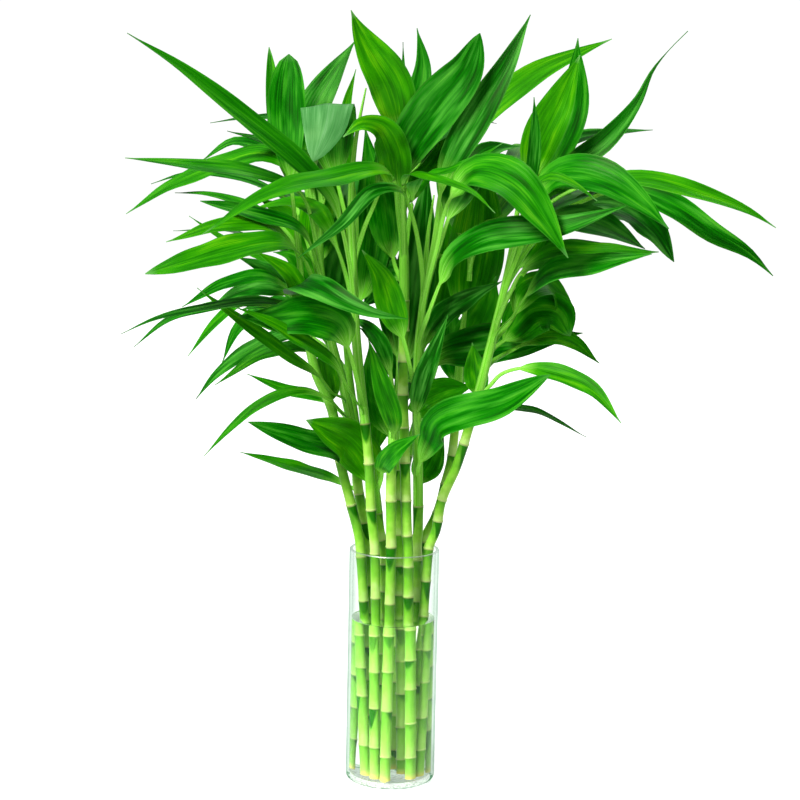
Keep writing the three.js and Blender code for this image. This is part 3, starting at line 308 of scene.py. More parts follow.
    ["B", 330, [[332, 300, 26], [339, 258, 32], [345, 195, 36]], 38, 10, 0.15],
    ["C", 330, [[364, 285, 14], [372, 235, 24], [373, 185, 28], [365, 126, 30]], 38, 10, 0.2],
    ["B", 290, [[318, 250, 30], [322, 205, 44], [332, 176, 50], [348, 152, 52]], 38, 20, 0.25],
    ["G", 290, [[394, 262, 14], [387, 215, 28], [382, 182, 36], [376, 150, 40]], 36, 15, 0.3],
    ["L", 400, [[404, 372, 66], [384, 345, 66], [360, 328, 64]], 34, 40, 0.3],
    ["G", 290, [[394, 276, 8], [382, 287, 18], [362, 308, 22]], 34, 25, 0.2],
    ["J", 300, [[530, 250, 24], [546, 218, 40], [560, 195, 48], [582, 180, 52]], 34, 30, 0.3],
    ["A", 325, [[300, 298, 32], [286, 281, 42], [262, 267, 48], [237, 257, 52]], 24, 40, 0.3],
    ["I", 400, [[458, 368, 48], [452, 340, 56], [450, 300, 60]], 34, 15, 0.2],
    ["I", 380, [[467, 345, 40], [482, 320, 42], [496, 276, 44]], 36, 20, 0.2],
    ["B", 316, [[312, 268, 31], [299, 234, 46], [281, 212, 52], [258, 198, 56]], 34, 40, 0.3],
    ["H", 486, [[422, 476, 8], [430, 460, 14], [444, 434, 18]], 28, 12, 0.12],
    ["J", 396, [[477, 386, -2], [475, 368, 4], [472, 342, 10]], 22, 12, 0.1],
    ["A", 402, [[330, 392, 5], [326, 370, 8], [321, 342, 10]], 21, 12, 0.1],
]

# ---- leaves of the back and sides: [stalk, height of the root, length, compass, rise, droop, width] ----
BACK_LEAVES = [
    ["L", 470, 210, 88, 60, 60, 44],
    ["L", 455, 200, 40, 42, 70, 38],
    ["L", 450, 190, 130, 40, 60, 38],
    ["L", 478, 190, 68, 70, 40, 38],
    ["L", 440, 170, 100, 24, 50, 26],
    ["K", 455, 200, 120, 50, 70, 42],
    ["K", 440, 180, 165, 40, 60, 26],
    ["K", 450, 190, 85, 60, 50, 40],
    ["I", 470, 200, 46, 58, 60, 44],
    ["I", 455, 190, 20, 45, 70, 28],
    ["I", 462, 180, 100, 58, 40, 38],
    ["J", 490, 190, 50, 36, 70, 40],
    ["J", 510, 180, 80, 48, 60, 40],
    ["B", 515, 190, 105, 52, 80, 42],
    ["B", 536, 170, 122, 46, 60, 36],
    ["G", 525, 180, 75, 58, 60, 42],
    ["G", 548, 150, 50, 50, 60, 36],
    ["F", 318, 170, 80, 40, 50, 28],
]


# ---- curves ----
def from_front(across, down, depth):
    """The point, in mm, that the front view shows at across and down, at that depth."""
    a = across - VIEW_SIZE / 2
    b = down - VIEW_SIZE / 2
    right = a * math.cos(EYE_ROLL) + b * math.sin(EYE_ROLL)
    below = -a * math.sin(EYE_ROLL) + b * math.cos(EYE_ROLL)
    k = -below / EYE_FOCAL
    sin, cos = math.sin(EYE_PITCH), math.cos(EYE_PITCH)
    away = depth + EYE_DISTANCE
    rise = (k * away * cos - away * sin) / (cos + k * sin)
    along = away * cos - rise * sin
    return np.array([right * along / EYE_FOCAL + EYE_SIDE, depth, rise + EYE_HEIGHT])


def down_in_front(point):
    """How far down in the front view a point in mm shows."""
    sin, cos = math.sin(EYE_PITCH), math.cos(EYE_PITCH)
    away = point[1] + EYE_DISTANCE
    rise = point[2] - EYE_HEIGHT
    along = away * cos - rise * sin
    up = away * sin + rise * cos
    right = EYE_FOCAL * (point[0] - EYE_SIDE) / along
    below = -EYE_FOCAL * up / along
    return VIEW_SIZE / 2 + right * math.sin(EYE_ROLL) + below * math.cos(EYE_ROLL)


def unit(vector):
    return vector / np.linalg.norm(vector)


def hermite(p, q, slope_p, slope_q, t, gap):
    """The point at t, from 0 to 1, on a cubic from p to q."""
    return (p * (2 * t ** 3 - 3 * t ** 2 + 1) + slope_p * (t ** 3 - 2 * t ** 2 + t) * gap
            + q * (3 * t ** 2 - 2 * t ** 3) + slope_q * (t ** 3 - t ** 2) * gap)


class Stalk:
    """A stalk's centre line, by height."""

    def __init__(self, foot, rim, radius, cut, path, rings):
        self.radius = radius
        low = np.array([*foot, VASE_FLOOR], float)
        high = np.array([*rim, VASE_HEIGHT], float)
        self.points = [low, high] + [from_front(*p) for p in path]
        last = len(self.points) - 1
        self.slopes = []
        for i in range(last + 1):
            step = self.points[min(i + 1, last)] - self.points[max(i - 1, 0)]
            self.slopes.append(step / step[2])
        self.top = self.points[-1][2]
        self.cut = self.height_of(cut)
        self.rings = sorted(self.height_of(ring) for ring in rings)

    def at(self, z):
        i = 0
        while i < len(self.points) - 2 and z > self.points[i + 1][2]:
            i += 1
        gap = self.points[i + 1][2] - self.points[i][2]
        t = (z - self.points[i][2]) / gap
        out = hermite(self.points[i], self.points[i + 1], self.slopes[i], self.slopes[i + 1], t, gap)
        out[2] = z
        return out

    def along(self, z):
        return unit(self.at(z + 1) - self.at(z - 1))

    def height_of(self, down):
        low, high = VASE_FLOOR, self.top
        for _ in range(HALVINGS):
            middle = (low + high) / 2
            if down_in_front(self.at(middle)) > down:
                low = middle
            else:
                high = middle
        return (low + high) / 2


def smooth_run(points, start_direction):
    """A curve through points, by share of its length, that sets off along start_direction."""
    gaps = [np.linalg.norm(b - a) for a, b in zip(points, points[1:])]
    slopes = [unit(start_direction)]
    for i in range(1, len(points) - 1):
        before = (points[i] - points[i - 1]) / gaps[i - 1]
        after = (points[i + 1] - points[i]) / gaps[i]
        share = gaps[i] / (gaps[i] + gaps[i - 1])
        slopes.append(before * share + after * (1 - share))
    slopes.append((points[-1] - points[-2]) / gaps[-1])
    whole = sum(gaps)

    def at(share):
        rest = share * whole
        i = 0
        while i < len(gaps) - 1 and rest > gaps[i]:
            rest -= gaps[i]
            i += 1
        t = min(rest / gaps[i], 1)
        return hermite(points[i], points[i + 1], slopes[i], slopes[i + 1], t, gaps[i])

    return at


# ---- mesh helpers ----
class Shape:
    """Collects vertices, faces and the point attributes that the materials read."""

    def __init__(self, *names):
        self.verts = []
        self.faces = []
        self.values = {name: [] for name in names}

    def add(self, points, **values):
        start = len(self.verts)
        self.verts.extend(tuple(p) for p in points)
        for name, column in self.values.items():
            value = values[name]
            column.extend(value if np.ndim(value) else [value] * len(points))
        return start

    def build(self, name, sharp=SHARP_CANE):
        mesh = bpy.data.meshes.new(name)
        mesh.from_pydata([tuple(c * MM for c in v) for v in self.verts], [], self.faces)
        for key, column in self.values.items():
            attribute = mesh.attributes.new(key, "FLOAT", "POINT")
            attribute.data.foreach_set("value", np.array(column, np.float32))
        mesh.validate()
        mesh.shade_smooth()
        mesh.set_sharp_from_angle(angle=math.radians(sharp))
        piece = bpy.data.objects.new(name, mesh)
        bpy.context.scene.collection.objects.link(piece)
        return piece


def join_rings(shape, starts, sides=STALK_SIDES, ends=True):
    """Faces between rings of one size, whose points go round against the clock about their direction."""
    for low, high in zip(starts, starts[1:]):
        for j in range(sides):
            k = (j + 1) % sides
            shape.faces.append((low + j, low + k, high + k, high + j))
    if ends:
        shape.faces.append(tuple(starts[0] + j for j in reversed(range(sides))))
        shape.faces.append(tuple(starts[-1] + j for j in range(sides)))


def angles_round(sides):
    return np.arange(sides) * 2 * math.pi / sides


def ring_around(centre, direction, radius):
    u = np.array([1.0, 0, 0])
    u = unit(u - direction * u.dot(direction))
    v = np.cross(direction, u)
    return [centre + u * radius * math.cos(a) + v * radius * math.sin(a) for a in angles_round(STALK_SIDES)]


UP = np.array([0.0, 0.0, 1.0])


# ---- canes ----
def cane_piece(name, stalk, draw):
    """A ringed cane. Its attributes say where in its internode a point is, and mark rings and leaf scars."""
    shape = Shape("phase", "ring", "tone", "scar", "foot", "soak")
    foot = VASE_FLOOR + FOOT_GAP
    marks = [foot, *stalk.rings, stalk.cut]
    starts = []
    angles = angles_round(STALK_SIDES)
    scar_side = draw.uniform(0, 2 * math.pi)

    def level(z, size, phase, ring, direction):
        points = ring_around(stalk.at(z), direction, stalk.radius * size)
        reach = SCAR_SHORT + scar_length * np.maximum(0, np.cos(angles - scar_side)) ** SCAR_POWER
        scar = scar_depth * np.clip((phase - 1 + reach) / SCAR_EDGE, 0, 1)
        foot_tint = max(0, 1 - (z - foot) / FOOT_TINT)
        soak = SOAKED if z < WATER_LEVEL else 0
        starts.append(shape.add(
            points, phase=phase, ring=ring, tone=tone, scar=scar, foot=foot_tint, soak=soak))

    for k, (low, high) in enumerate(zip(marks, marks[1:])):
        tone = draw.random()
        scar_side += math.pi + draw.uniform(-SCAR_DRIFT, SCAR_DRIFT)
        scar_length = draw.uniform(*SCAR_LENGTHS)
        scar_depth = draw.uniform(*SCAR_DEPTHS)
        span = high - low
        for share in INTERNODE:
            z = low + RING_ABOVE + (span - RING_ROOM) * share
            waist = 1 - WAIST * math.sin(math.pi * share) ** WAIST_POWER
            flare = FLARE * max(0, (share - FLARE_FROM) / (1 - FLARE_FROM)) ** 2
            direction = UP if k == 0 and share == 0 else stalk.along(z)
            level(z, waist + flare, share, 0.0, direction)
        if high < stalk.cut:
            for offset, size in RING_STEPS:
                z = high + offset
                level(z, size, float(offset < RING_LINE), 1.0, stalk.along(z))
    for offset, size in CUT_STEPS:
        level(stalk.cut + offset, size, 1.0, 1.0, stalk.along(stalk.cut))
    join_rings(shape, starts)
    return shape.build(name)


# ---- shoots ----
def blade_shape(g, tip):
    return g ** BASE_POWER * (1 - g) ** tip


def blade_width(share, leaf):
    stem = STEM_WIDTH + (STEM_NECK - STEM_WIDTH) * min(share / max(leaf.stem_part, 0.01), 1)
    g = min(max(0, (share - leaf.stem_part) / (1 - leaf.stem_part)), 1)
    widest = BASE_POWER / (BASE_POWER + leaf.tip)
    blade = leaf.width * blade_shape(g, leaf.tip) / blade_shape(widest, leaf.tip)
    fade = max(0, 1 - g / NECK_LENGTH)
    return max(blade, stem * min(1, fade + NECK_LEFT), TIP_WIDTH)


class Leaf:
    """A leaf from its table row: its root, the points on its way, its face and its width."""

    def __init__(self, stalk, root_height, points, width, face, stem_part, tip=TIP_POWER):
        self.root = stalk.at(root_height)
        self.direction = stalk.along(root_height)
        self.points = points
        self.width = width
        self.face = face
        self.stem_part = stem_part
        self.tip = tip

    def settle(self, corners):
        """Finds which bend the CAD leaf took, by its tip. Returns False if the CAD model left it out."""
        best = TIP_REACH
        self.bend = None
        for lift in BENDS_LIFT:
            for depth in BENDS_DEPTH:
                tip = self.points[-1] + np.array([0, depth, lift])
                gap = np.sqrt(((corners - tip) ** 2).sum(1).min())
                if gap < best:
                    best = gap
                    self.bend = (depth, lift)
        return self.bend is not None

    def run(self):
        way = [self.root - self.direction * ROOT_DEPTH, *self.points]
        shift = np.array([0, *self.bend])
        return smooth_run([p + shift * i / (len(way) - 1) for i, p in enumerate(way)], self.direction)


def drawn_leaf(stalk, down, way, width, facing, stem_part, tip=TIP_POWER):
    root_height = min(stalk.height_of(down), stalk.top - ROOT_CLEAR)
    face = None
    if facing != "over":
        angle = math.radians(facing)
        face = np.array([0, -math.cos(angle), math.sin(angle)])
    points = [from_front(a, d, depth * DEPTH_SPREAD) for a, d, depth in way]
    return Leaf(stalk, root_height, points, width, face, stem_part, tip)


def back_leaf(stalk, root_height, length, compass, rise, droop, width):
    turn, climb = math.radians(compass), math.radians(rise)
    out = np.array([math.cos(turn), math.sin(turn), 0])
    root = stalk.at(root_height)
    points = []
    for share in BACK_SHARES:
        reach = length * share * math.cos(climb * (1 - BACK_EASE * share))
        height = length * share * math.sin(climb) - droop * share ** BACK_DROOP_POWER
        points.append(root + out * reach + UP * height)
    face = unit(UP * BACK_FACE[0] - out * BACK_FACE[1])
    return Leaf(stalk, root_height, points, width, face, BACK_STEM)


def leaf_into(shape, leaf, draw):
    """Adds a leaf's blade and stem: an upper and a lower skin, joined along their edges."""
    run = leaf.run()
    tone = draw.random()
    pale = 1.0 if leaf.face is None else 0.0
    ripple = draw.uniform(*RIPPLE_HEIGHTS)
    ripples = draw.uniform(*RIPPLE_COUNTS)
    start_wave = draw.uniform(0, WAVE_STARTS)
    twist = math.radians(draw.uniform(-TWIST, TWIST))
    side = None
    rows = []
    for i in range(STATIONS + 1):
        share = i / STATIONS
        centre = run(share)
        direction = unit(run(min(share + TURN_LOOK, 1)) - run(max(share - TURN_LOOK, 0)))
        across = np.array([1.0, 0, 0]) if leaf.face is None else np.cross(direction, leaf.face)
        if np.linalg.norm(across) < SIDE_LEAST and side is not None:
            across = side
        across = unit(across - direction * across.dot(direction))
        side = across
        out = np.cross(across, direction)
        turn = twist * share ** 2
        across, out = (across * math.cos(turn) + out * math.sin(turn),
                       out * math.cos(turn) - across * math.sin(turn))
        half = blade_width(share, leaf) / 2
        g = max(0, (share - leaf.stem_part) / (1 - leaf.stem_part))
        settle = min(share / (leaf.stem_part + THINNING), 1)
        thick = (STEM_THICKNESS + (BLADE_THICKNESS - STEM_THICKNESS) * settle) / 2
        wave = ripple * math.sin(math.pi * g) * half
        upper, lower, s_row = [], [], []
        for j in range(STRIPS + 1):
            s = 2 * j / STRIPS - 1
            fold = FOLD * half * (math.sqrt(s * s + FOLD_ROUND) - FOLD_SINK)
            lift = fold + wave * s * abs(s) * math.sin(2 * math.pi * ripples * g + start_wave + s)
            base = centre + across * half * s + out * lift
            thin = thick * (1 - EDGE_THIN * abs(s) ** 3)
            upper.append(base + out * thin)
            lower.append(base - out * thin)
            s_row.append(s)
        common = dict(across=s_row, along=g, blade=min(1, g * STEM_FADE), tone=tone, pale=pale)
        rows.append((shape.add(upper, upper=1.0, **common), shape.add(lower, upper=0.0, **common)))
    for (a, b), (c, d) in zip(rows, rows[1:]):
        for j in range(STRIPS):
            shape.faces.append((a + j, c + j, c + j + 1, a + j + 1))
            shape.faces.append((b + j, b + j + 1, d + j + 1, d + j))
        shape.faces.append((a, b, d, c))
        shape.faces.append((a + STRIPS, c + STRIPS, d + STRIPS, b + STRIPS))
    for (a, b), flip in ((rows[0], False), (rows[-1], True)):
        for j in range(STRIPS):
            face = (a + j, a + j + 1, b + j + 1, b + j)
            shape.faces.append(tuple(reversed(face)) if flip else face)


def stem_into(shape, stalk, draw):
    """Adds the middle stem of a shoot, from the top of its cane to its last leaf."""
    direction = stalk.along(stalk.cut)
    length = stalk.top - stalk.cut
    starts = []
    steps = max(4, round(length / STEM_STEP))
    tone = draw.random()
    across = np.cos(angles_round(STALK_SIDES))
    thick = stalk.radius * SHOOT_SIZE
    for i in range(steps + 1):
        share = i / steps
        z = stalk.cut + length * share
        size = thick + (TOP_RADIUS - thick) * share ** TOP_TAPER
        centre = stalk.at(z) if i else stalk.at(z) + direction * JOINT_GAP
        ring = ring_around(centre, stalk.along(z) if i else direction, size)
        starts.append(shape.add(ring, upper=1.0, across=across, along=0.0, blade=0.0, tone=tone, pale=0.0))
    join_rings(shape, starts)


def shoot_piece(name, node, stalk, leaves, draw):
    shape = Shape("across", "along", "blade", "tone", "upper", "pale")
    stem_into(shape, stalk, draw)
    corners = np.array([v.co for v in node.data.vertices]) / MM
    for leaf in leaves:
        if leaf.settle(corners):
            leaf_into(shape, leaf, draw)
        else:
            print("no CAD leaf for a row of", name)
    return shape.build(name, sharp=SHARP_LEAF)


# ---- vase and water ----
def lathe_piece(name, profile, **zones):
    """A closed body turned about the vase's axis. profile goes from the axis round to the axis, in mm.
    Each zone is an attribute: a function of distance from the axis and height."""
    shape = Shape(*zones)
    starts = []

    def levels(r, z):
        return {key: float(zone(r, z)) for key, zone in zones.items()}

    for r, z in profile[1:-1]:
        ring = [(r * math.cos(a), r * math.sin(a), z) for a in angles_round(LATHE_SIDES)]
        starts.append(shape.add(ring, **levels(r, z)))
    join_rings(shape, starts, LATHE_SIDES, ends=False)
    for (_, z), ring, flip in ((profile[0], starts[0], True), (profile[-1], starts[-1], False)):
        middle = shape.add([(0, 0, z)], **levels(0, z))
        for j in range(LATHE_SIDES):
            k = (j + 1) % LATHE_SIDES
            shape.faces.append((middle, ring + k, ring + j) if flip else (middle, ring + j, ring + k))
    return shape.build(name, sharp=SHARP_GLASS)


def arc(centre_r, centre_z, radius, start, end, steps):
    """Points of a round corner, angles in degrees."""
    out = []
    for i in range(steps + 1):
        a = math.radians(start + (end - start) * i / steps)
        out.append((centre_r + radius * math.cos(a), centre_z + radius * math.sin(a)))
    return out


def vase_profile():
    outer = VASE_DIAMETER / 2
    inner = outer - VASE_WALL
    ring = outer - FOOT_ROUND
    low, high = VASE_FLOOR + 4, VASE_HEIGHT - 3  # the wall is straight between them
    flat, slope, foot = (ring - edge for edge in PUNT_EDGES)
    return ([(0, PUNT_RISE), (flat, PUNT_RISE), (slope, PUNT_RISE / 2), (foot, FOOT_LIFT)]
            + arc(ring, FOOT_ROUND + FOOT_LIFT, FOOT_ROUND, -90, 0, 8)
            + [(outer, low), (outer, high)]
            + arc(outer - LIP_ROUND, VASE_HEIGHT - LIP_ROUND, LIP_ROUND, 0, 90, 5)
            + arc(inner + LIP_ROUND, VASE_HEIGHT - LIP_ROUND, LIP_ROUND, 90, 180, 5)
            + [(inner, high), (inner, low)]
            + arc(inner - FLOOR_ROUND, VASE_FLOOR + FLOOR_ROUND, FLOOR_ROUND, 0, -90, 6)
            + [(inner - FLOOR_EASE, VASE_FLOOR), (0, VASE_FLOOR)])


def inside_of_vase(r, z):
    """Whether a point of the glass is on the vase's inner face, or under the middle of its floor."""
    edge = VASE_WALL if z > VASE_FLOOR else FOOT_ROUND
    return r < VASE_DIAMETER / 2 - edge + SKIN


def water_profile():
    wall = VASE_DIAMETER / 2 - VASE_WALL + WATER_GRIP
    floor = VASE_FLOOR - WATER_GRIP
    corner = arc(wall - FLOOR_ROUND, floor + FLOOR_ROUND, FLOOR_ROUND, -90, 0, 6)
    edge = [(wall - inwards, WATER_LEVEL + rise) for inwards, rise in MENISCUS]
    return [(0, floor)] + corner + edge + [(0, WATER_LEVEL)]


# ---- materials ----
class Nodes:
    """Short calls for the node tree of a material or of the world."""

    def __init__(self, owner, kind="Material"):
        owner.use_nodes = True
        self.owner = owner
        self.tree = owner.node_tree
        self.tree.nodes.clear()
        self.output = self.new("Output" + kind)

    def new(self, kind, inputs=None, **settings):
        """A node with its settings. Its inputs, by name or number, are linked or set."""
        node = self.tree.nodes.new("ShaderNode" + kind)
        for key, value in settings.items():
            setattr(node, key, value)
        for key, value in (inputs or {}).items():
            socket = node.inputs[key]
            if hasattr(value, "is_output"):
                self.tree.links.new(value, socket)
            else:
                socket.default_value = (*value, 1) if isinstance(value, tuple) else value
        return node

    def attribute(self, name):
        return self.new("Attribute", attribute_name=name).outputs["Fac"]

    def maths(self, operation, a, b=0.0, clamp=False):
        return self.new("Math", {0: a, 1: b}, operation=operation, use_clamp=clamp).outputs[0]

    def times(self, a, b, clamp=False):
        return self.maths("MULTIPLY", a, b, clamp)

    def plus(self, a, b, clamp=False):
        return self.maths("ADD", a, b, clamp)

    def over(self, a, b):
        """How far a is over b: 0 where it isn't."""
        return self.maths("SUBTRACT", a, b, clamp=True)

    def vector(self, *parts):
        return self.new("CombineXYZ", dict(enumerate(parts))).outputs[0]

    def noise(self, vector, scale, detail=2.0, roughness=0.5):
        inputs = {"Vector": vector, "Scale": scale, "Detail": detail, "Roughness": roughness}
        return self.new("TexNoise", inputs).outputs["Fac"]

    def ramp(self, factor, stops):
        node = self.new("ValToRGB", {0: factor})
        elements = node.color_ramp.elements
        while len(elements) < len(stops):
            elements.new(0.5)
        for element, (place, colour) in zip(elements, stops):
            element.position = place
            element.color = (*colour, 1)
        return node.outputs[0]

    def mix(self, factor, a, b):
        return self.new("Mix", {0: factor, 6: a, 7: b}, data_type="RGBA").outputs[2]

    def bump(self, height):
        return self.new("Bump", {"Strength": 0.35, "Distance": 0.0004, "Height": height}).outputs[0]

    def surface(self, **values):
        return self.new("BsdfPrincipled", {k.replace("_", " "): v for k, v in values.items()}).outputs[0]

    def show(self, shader):
        self.tree.links.new(shader, self.output.inputs["Surface"])

    def show_both(self, factor, a, b):
        """Shows a mix of two shaders."""
        self.show(self.new("MixShader", {0: factor, 1: a, 2: b}).outputs[0])

    def looked_at(self):
        """1 for what the camera sees, also through the water, and 0 for light on its way to the plant."""
        ray = self.new("LightPath").outputs
        seen = self.maths("MAXIMUM", ray["Is Camera Ray"], ray["Transmission Depth"])
        return self.over(seen, ray["Diffuse Depth"])


def leaf_material():
    """Deep green with fine veins that run with the blade, paler below; the stem is bright green. Pale patches
    are painted sheen, the lighter edges a painted highlight, and the dark middle line painted shade in the
    fold.
    """
    n = Nodes(bpy.data.materials.new("living_leaf"))
    across = n.attribute("across")
    along = n.attribute("along")
    tone = n.attribute("tone")
    offset = n.times(tone, 37.0)
    veins = n.vector(n.times(across, 24.0), n.times(along, 1.8), offset)
    fine = n.noise(veins, 1.0, 2.0, 0.6)
    patches = n.vector(n.times(across, 2.4), n.times(along, 3.0), offset)
    broad = n.noise(patches, 1.0, 2.0)
    off_middle = n.maths("ABSOLUTE", across)
    streak = n.plus(n.times(fine, 0.42), n.times(broad, 0.58))
    pale_base = n.times(n.over(0.22, along), 0.4)
    own = n.times(n.maths("SUBTRACT", tone, 0.5), 0.15)
    streak = n.plus(streak, n.plus(pale_base, own))
    top = n.ramp(streak, [(0.35, (0.0, 0.055, 0.0)), (0.49, (0.002, 0.19, 0.0)),
                          (0.6, (0.025, 0.33, 0.0)), (0.75, (0.17, 0.56, 0.004))])
    warm = n.times(n.over(tone, 0.55), 0.8)
    top = n.mix(warm, top, n.mix(streak, (0.0, 0.1, 0.0), (0.1, 0.5, 0.0)))
    # painted sheen: pale patches from broad noise stand in for soft highlights on the glossy blades
    painted_sheen = n.times(n.over(broad, 0.48), 3.0, clamp=True)
    painted_sheen = n.times(painted_sheen, n.over(0.8, tone))
    top = n.mix(painted_sheen, top, (0.13, 0.46, 0.07))
    # painted highlight: thin lighter lines along the blade's edges
    rim = n.times(n.over(off_middle, 0.9), 7.0, clamp=True)
    top = n.mix(n.times(rim, 0.55), top, (0.08, 0.42, 0.03))
    # painted shade: a dark line down the middle of the upper side, in the fold between the blade's halves
    middle = n.over(1.0, n.times(off_middle, 14.0))
    top = n.mix(n.times(middle, 0.4), top, (0.0, 0.08, 0.0))
    under = n.ramp(streak, [(0.38, (0.002, 0.1, 0.002)), (0.52, (0.02, 0.25, 0.012)),
                            (0.68, (0.11, 0.44, 0.06))])
    light = n.ramp(streak, [(0.4, (0.05, 0.24, 0.05)), (0.55, (0.11, 0.36, 0.1)), (0.65, (0.22, 0.5, 0.2))])
    under = n.mix(n.attribute("pale"), under, light)
    skin = n.mix(n.attribute("upper"), under, top)
    stem = n.ramp(fine, [(0.36, (0.07, 0.5, 0.005)), (0.5, (0.24, 0.78, 0.035)), (0.64, (0.56, 0.98, 0.24))])
    side = n.maths("POWER", off_middle, 6.0)
    stem = n.mix(n.times(side, 0.6), stem, (0.02, 0.26, 0.0))
    skin = n.mix(n.attribute("blade"), stem, skin)
    tip = n.times(n.over(along, 0.93), 12.0, clamp=True)
    skin = n.mix(n.times(tip, n.over(tone, 0.3)), skin, (0.3, 0.6, 0.22))
    rough = n.plus(0.3, n.times(fine, 0.16))
    pleats = n.maths("SINE", n.plus(n.times(across, 34.0), n.times(broad, 5.0)))
    height = n.plus(n.times(pleats, 0.3), fine)
    shade = n.surface(Base_Color=skin, Roughness=rough, Specular_IOR_Level=0.15,
                      Specular_Tint=(0.6, 1.0, 0.35), Normal=n.bump(height))
    glow = n.new("BsdfTranslucent", {"Color": n.mix(0.6, skin, (0.03, 0.5, 0.0))})
    n.show_both(0.14, shade, glow.outputs[0])
    return n.owner


def cane_material():
    """Cream at the foot of each internode, bright green above, with a dark scar under each ring."""
    n = Nodes(bpy.data.materials.new("living_cane"))
    ring = n.attribute("ring")
    tone = n.attribute("tone")
    place = n.new("TexCoord").outputs["Object"]
    stretch = n.new("Mapping", {"Vector": place, "Scale": [700, 700, 30]})
    fibre = n.noise(stretch.outputs[0], 1.0, 3.0)
    patch = n.noise(place, 110.0, 2.0)
    shift = n.times(n.maths("SUBTRACT", patch, 0.5), 0.7)
    shift = n.plus(shift, n.times(n.maths("SUBTRACT", tone, 0.5), 0.3))
    shift = n.plus(shift, n.attribute("phase"), clamp=True)
    colour = n.ramp(shift, [(0.0, (0.5, 0.75, 0.2)), (0.22, (0.32, 0.66, 0.07)), (0.5, (0.16, 0.52, 0.015)),
                            (0.8, (0.06, 0.35, 0.002)), (1.0, (0.03, 0.24, 0.0))])
    soaked = n.ramp(shift, [(0.0, (0.38, 0.63, 0.15)), (0.4, (0.25, 0.56, 0.075)), (1.0, (0.1, 0.38, 0.015))])
    colour = n.mix(n.attribute("soak"), colour, soaked)
    colour = n.mix(n.times(fibre, 0.3), colour, (0.42, 0.74, 0.12))
    scar = n.plus(n.attribute("scar"), n.times(n.maths("SUBTRACT", fibre, 0.5), 0.35))
    scar = n.times(n.over(scar, 0.35), 2.2, clamp=True)
    colour = n.mix(scar, colour, n.mix(patch, (0.0, 0.07, 0.0), (0.02, 0.24, 0.0)))
    line = n.mix(patch, (0.3, 0.42, 0.05), (0.75, 0.84, 0.38))
    colour = n.mix(n.times(ring, 0.65), colour, line)
    colour = n.mix(n.attribute("foot"), colour, (0.85, 0.72, 0.2))
    rough = n.plus(0.3, n.times(fibre, 0.2))
    n.show(n.surface(Base_Color=colour, Roughness=rough, Specular_IOR_Level=0.2,
                     Specular_Tint=(0.6, 1.0, 0.4), Normal=n.bump(fibre)))
    return n.owner


def glass_material():
    """Thin clear glass: light goes straight through it, and it greys and shines where it is seen edge-on,
    with grey patches painted in as reflections.
    """
    n = Nodes(bpy.data.materials.new("clear_glass"))
    place = n.new("TexCoord").outputs["Object"]
    haze = n.noise(place, 55.0, 3.0)
    speck = n.noise(place, 420.0, 3.0, 0.7)
    lip = n.attribute("lip")
    base = n.attribute("base")
    facing = n.new("LayerWeight", {"Blend": 0.5}).outputs["Facing"]
    strength = n.times(n.plus(0.7, n.times(haze, 0.8)),
                       n.maths("SUBTRACT", 1.0, n.times(n.attribute("inside"), 0.75)))
    depth = n.times(n.maths("POWER", facing, 2.5), strength, clamp=True)
    tint = n.mix(depth, (0.985, 0.995, 0.985), (0.4, 0.58, 0.46))
    # painted reflection: grey patches, strongest where the glass is seen edge-on, stand in for reflections in
    # it
    painted_reflection = n.times(n.over(n.noise(place, 26.0, 2.0), 0.5), 4.0, clamp=True)
    tint = n.mix(n.times(painted_reflection, facing), tint, (0.78, 0.83, 0.8))
    grit = n.times(n.over(speck, 0.5), 5.0, clamp=True)
    tint = n.mix(n.times(base, grit), tint, (0.5, 0.6, 0.5))
    # the outer edge of the underside is tinted dark green in patches
    heel_patches = n.times(n.over(n.noise(place, 150.0, 2.0), 0.44), 9.0, clamp=True)
    tint = n.mix(n.times(n.attribute("heel"), heel_patches), tint, (0.05, 0.32, 0.12))
    through = n.new("BsdfTransparent", {"Color": tint})
    satin = n.plus(n.times(haze, 0.05), n.times(lip, 0.35))
    shine = n.new("BsdfGlossy", {"Color": (0.96, 1.0, 0.97), "Roughness": satin})
    mirror = n.plus(0.004, n.times(n.maths("POWER", facing, 6.0), 0.4))
    mirror = n.maths("MAXIMUM", mirror, n.times(lip, 0.35))
    n.show_both(mirror, through.outputs[0], shine.outputs[0])
    return n.owner


def water_material():
    """Clear water that bends what is seen through its side. Lamps and mirrored light pass freely."""
    n = Nodes(bpy.data.materials.new("clear_water"))
    haze = n.noise(n.new("TexCoord").outputs["Object"], 40.0, 2.0)
    tint = n.mix(n.attribute("top"), (0.97, 1.0, 0.97), (0.8, 0.93, 0.68))
    water = n.surface(Base_Color=tint, Roughness=n.times(haze, 0.01), IOR=1.333,
                      Transmission_Weight=1.0)
    through = n.new("BsdfTransparent", {"Color": (0.98, 1.0, 0.98)})
    ray = n.new("LightPath").outputs
    clear = n.maths("MAXIMUM", ray["Is Shadow Ray"], n.attribute("base"))
    clear = n.maths("MAXIMUM", clear, ray["Glossy Depth"], clamp=True)
    n.show_both(clear, water, through.outputs[0])
    return n.owner


def floor_material():
    """A pale light table: plain white, faintly lit from below, so that shadows on it stay soft."""
    n = Nodes(bpy.data.materials.new("pale_floor"))
    speck = n.noise(n.new("TexCoord").outputs["Object"], 6.0, 4.0)
    colour = n.mix(speck, (0.44, 0.44, 0.44), (0.48, 0.48, 0.48))
    glow = n.plus(FLOOR_LIGHT, n.times(n.looked_at(), FLOOR_SEEN))
    n.show(n.surface(Base_Color=colour, Roughness=0.8, Specular_IOR_Level=0.2,
                     Emission_Color=(1, 1, 1), Emission_Strength=glow))
    return n.owner


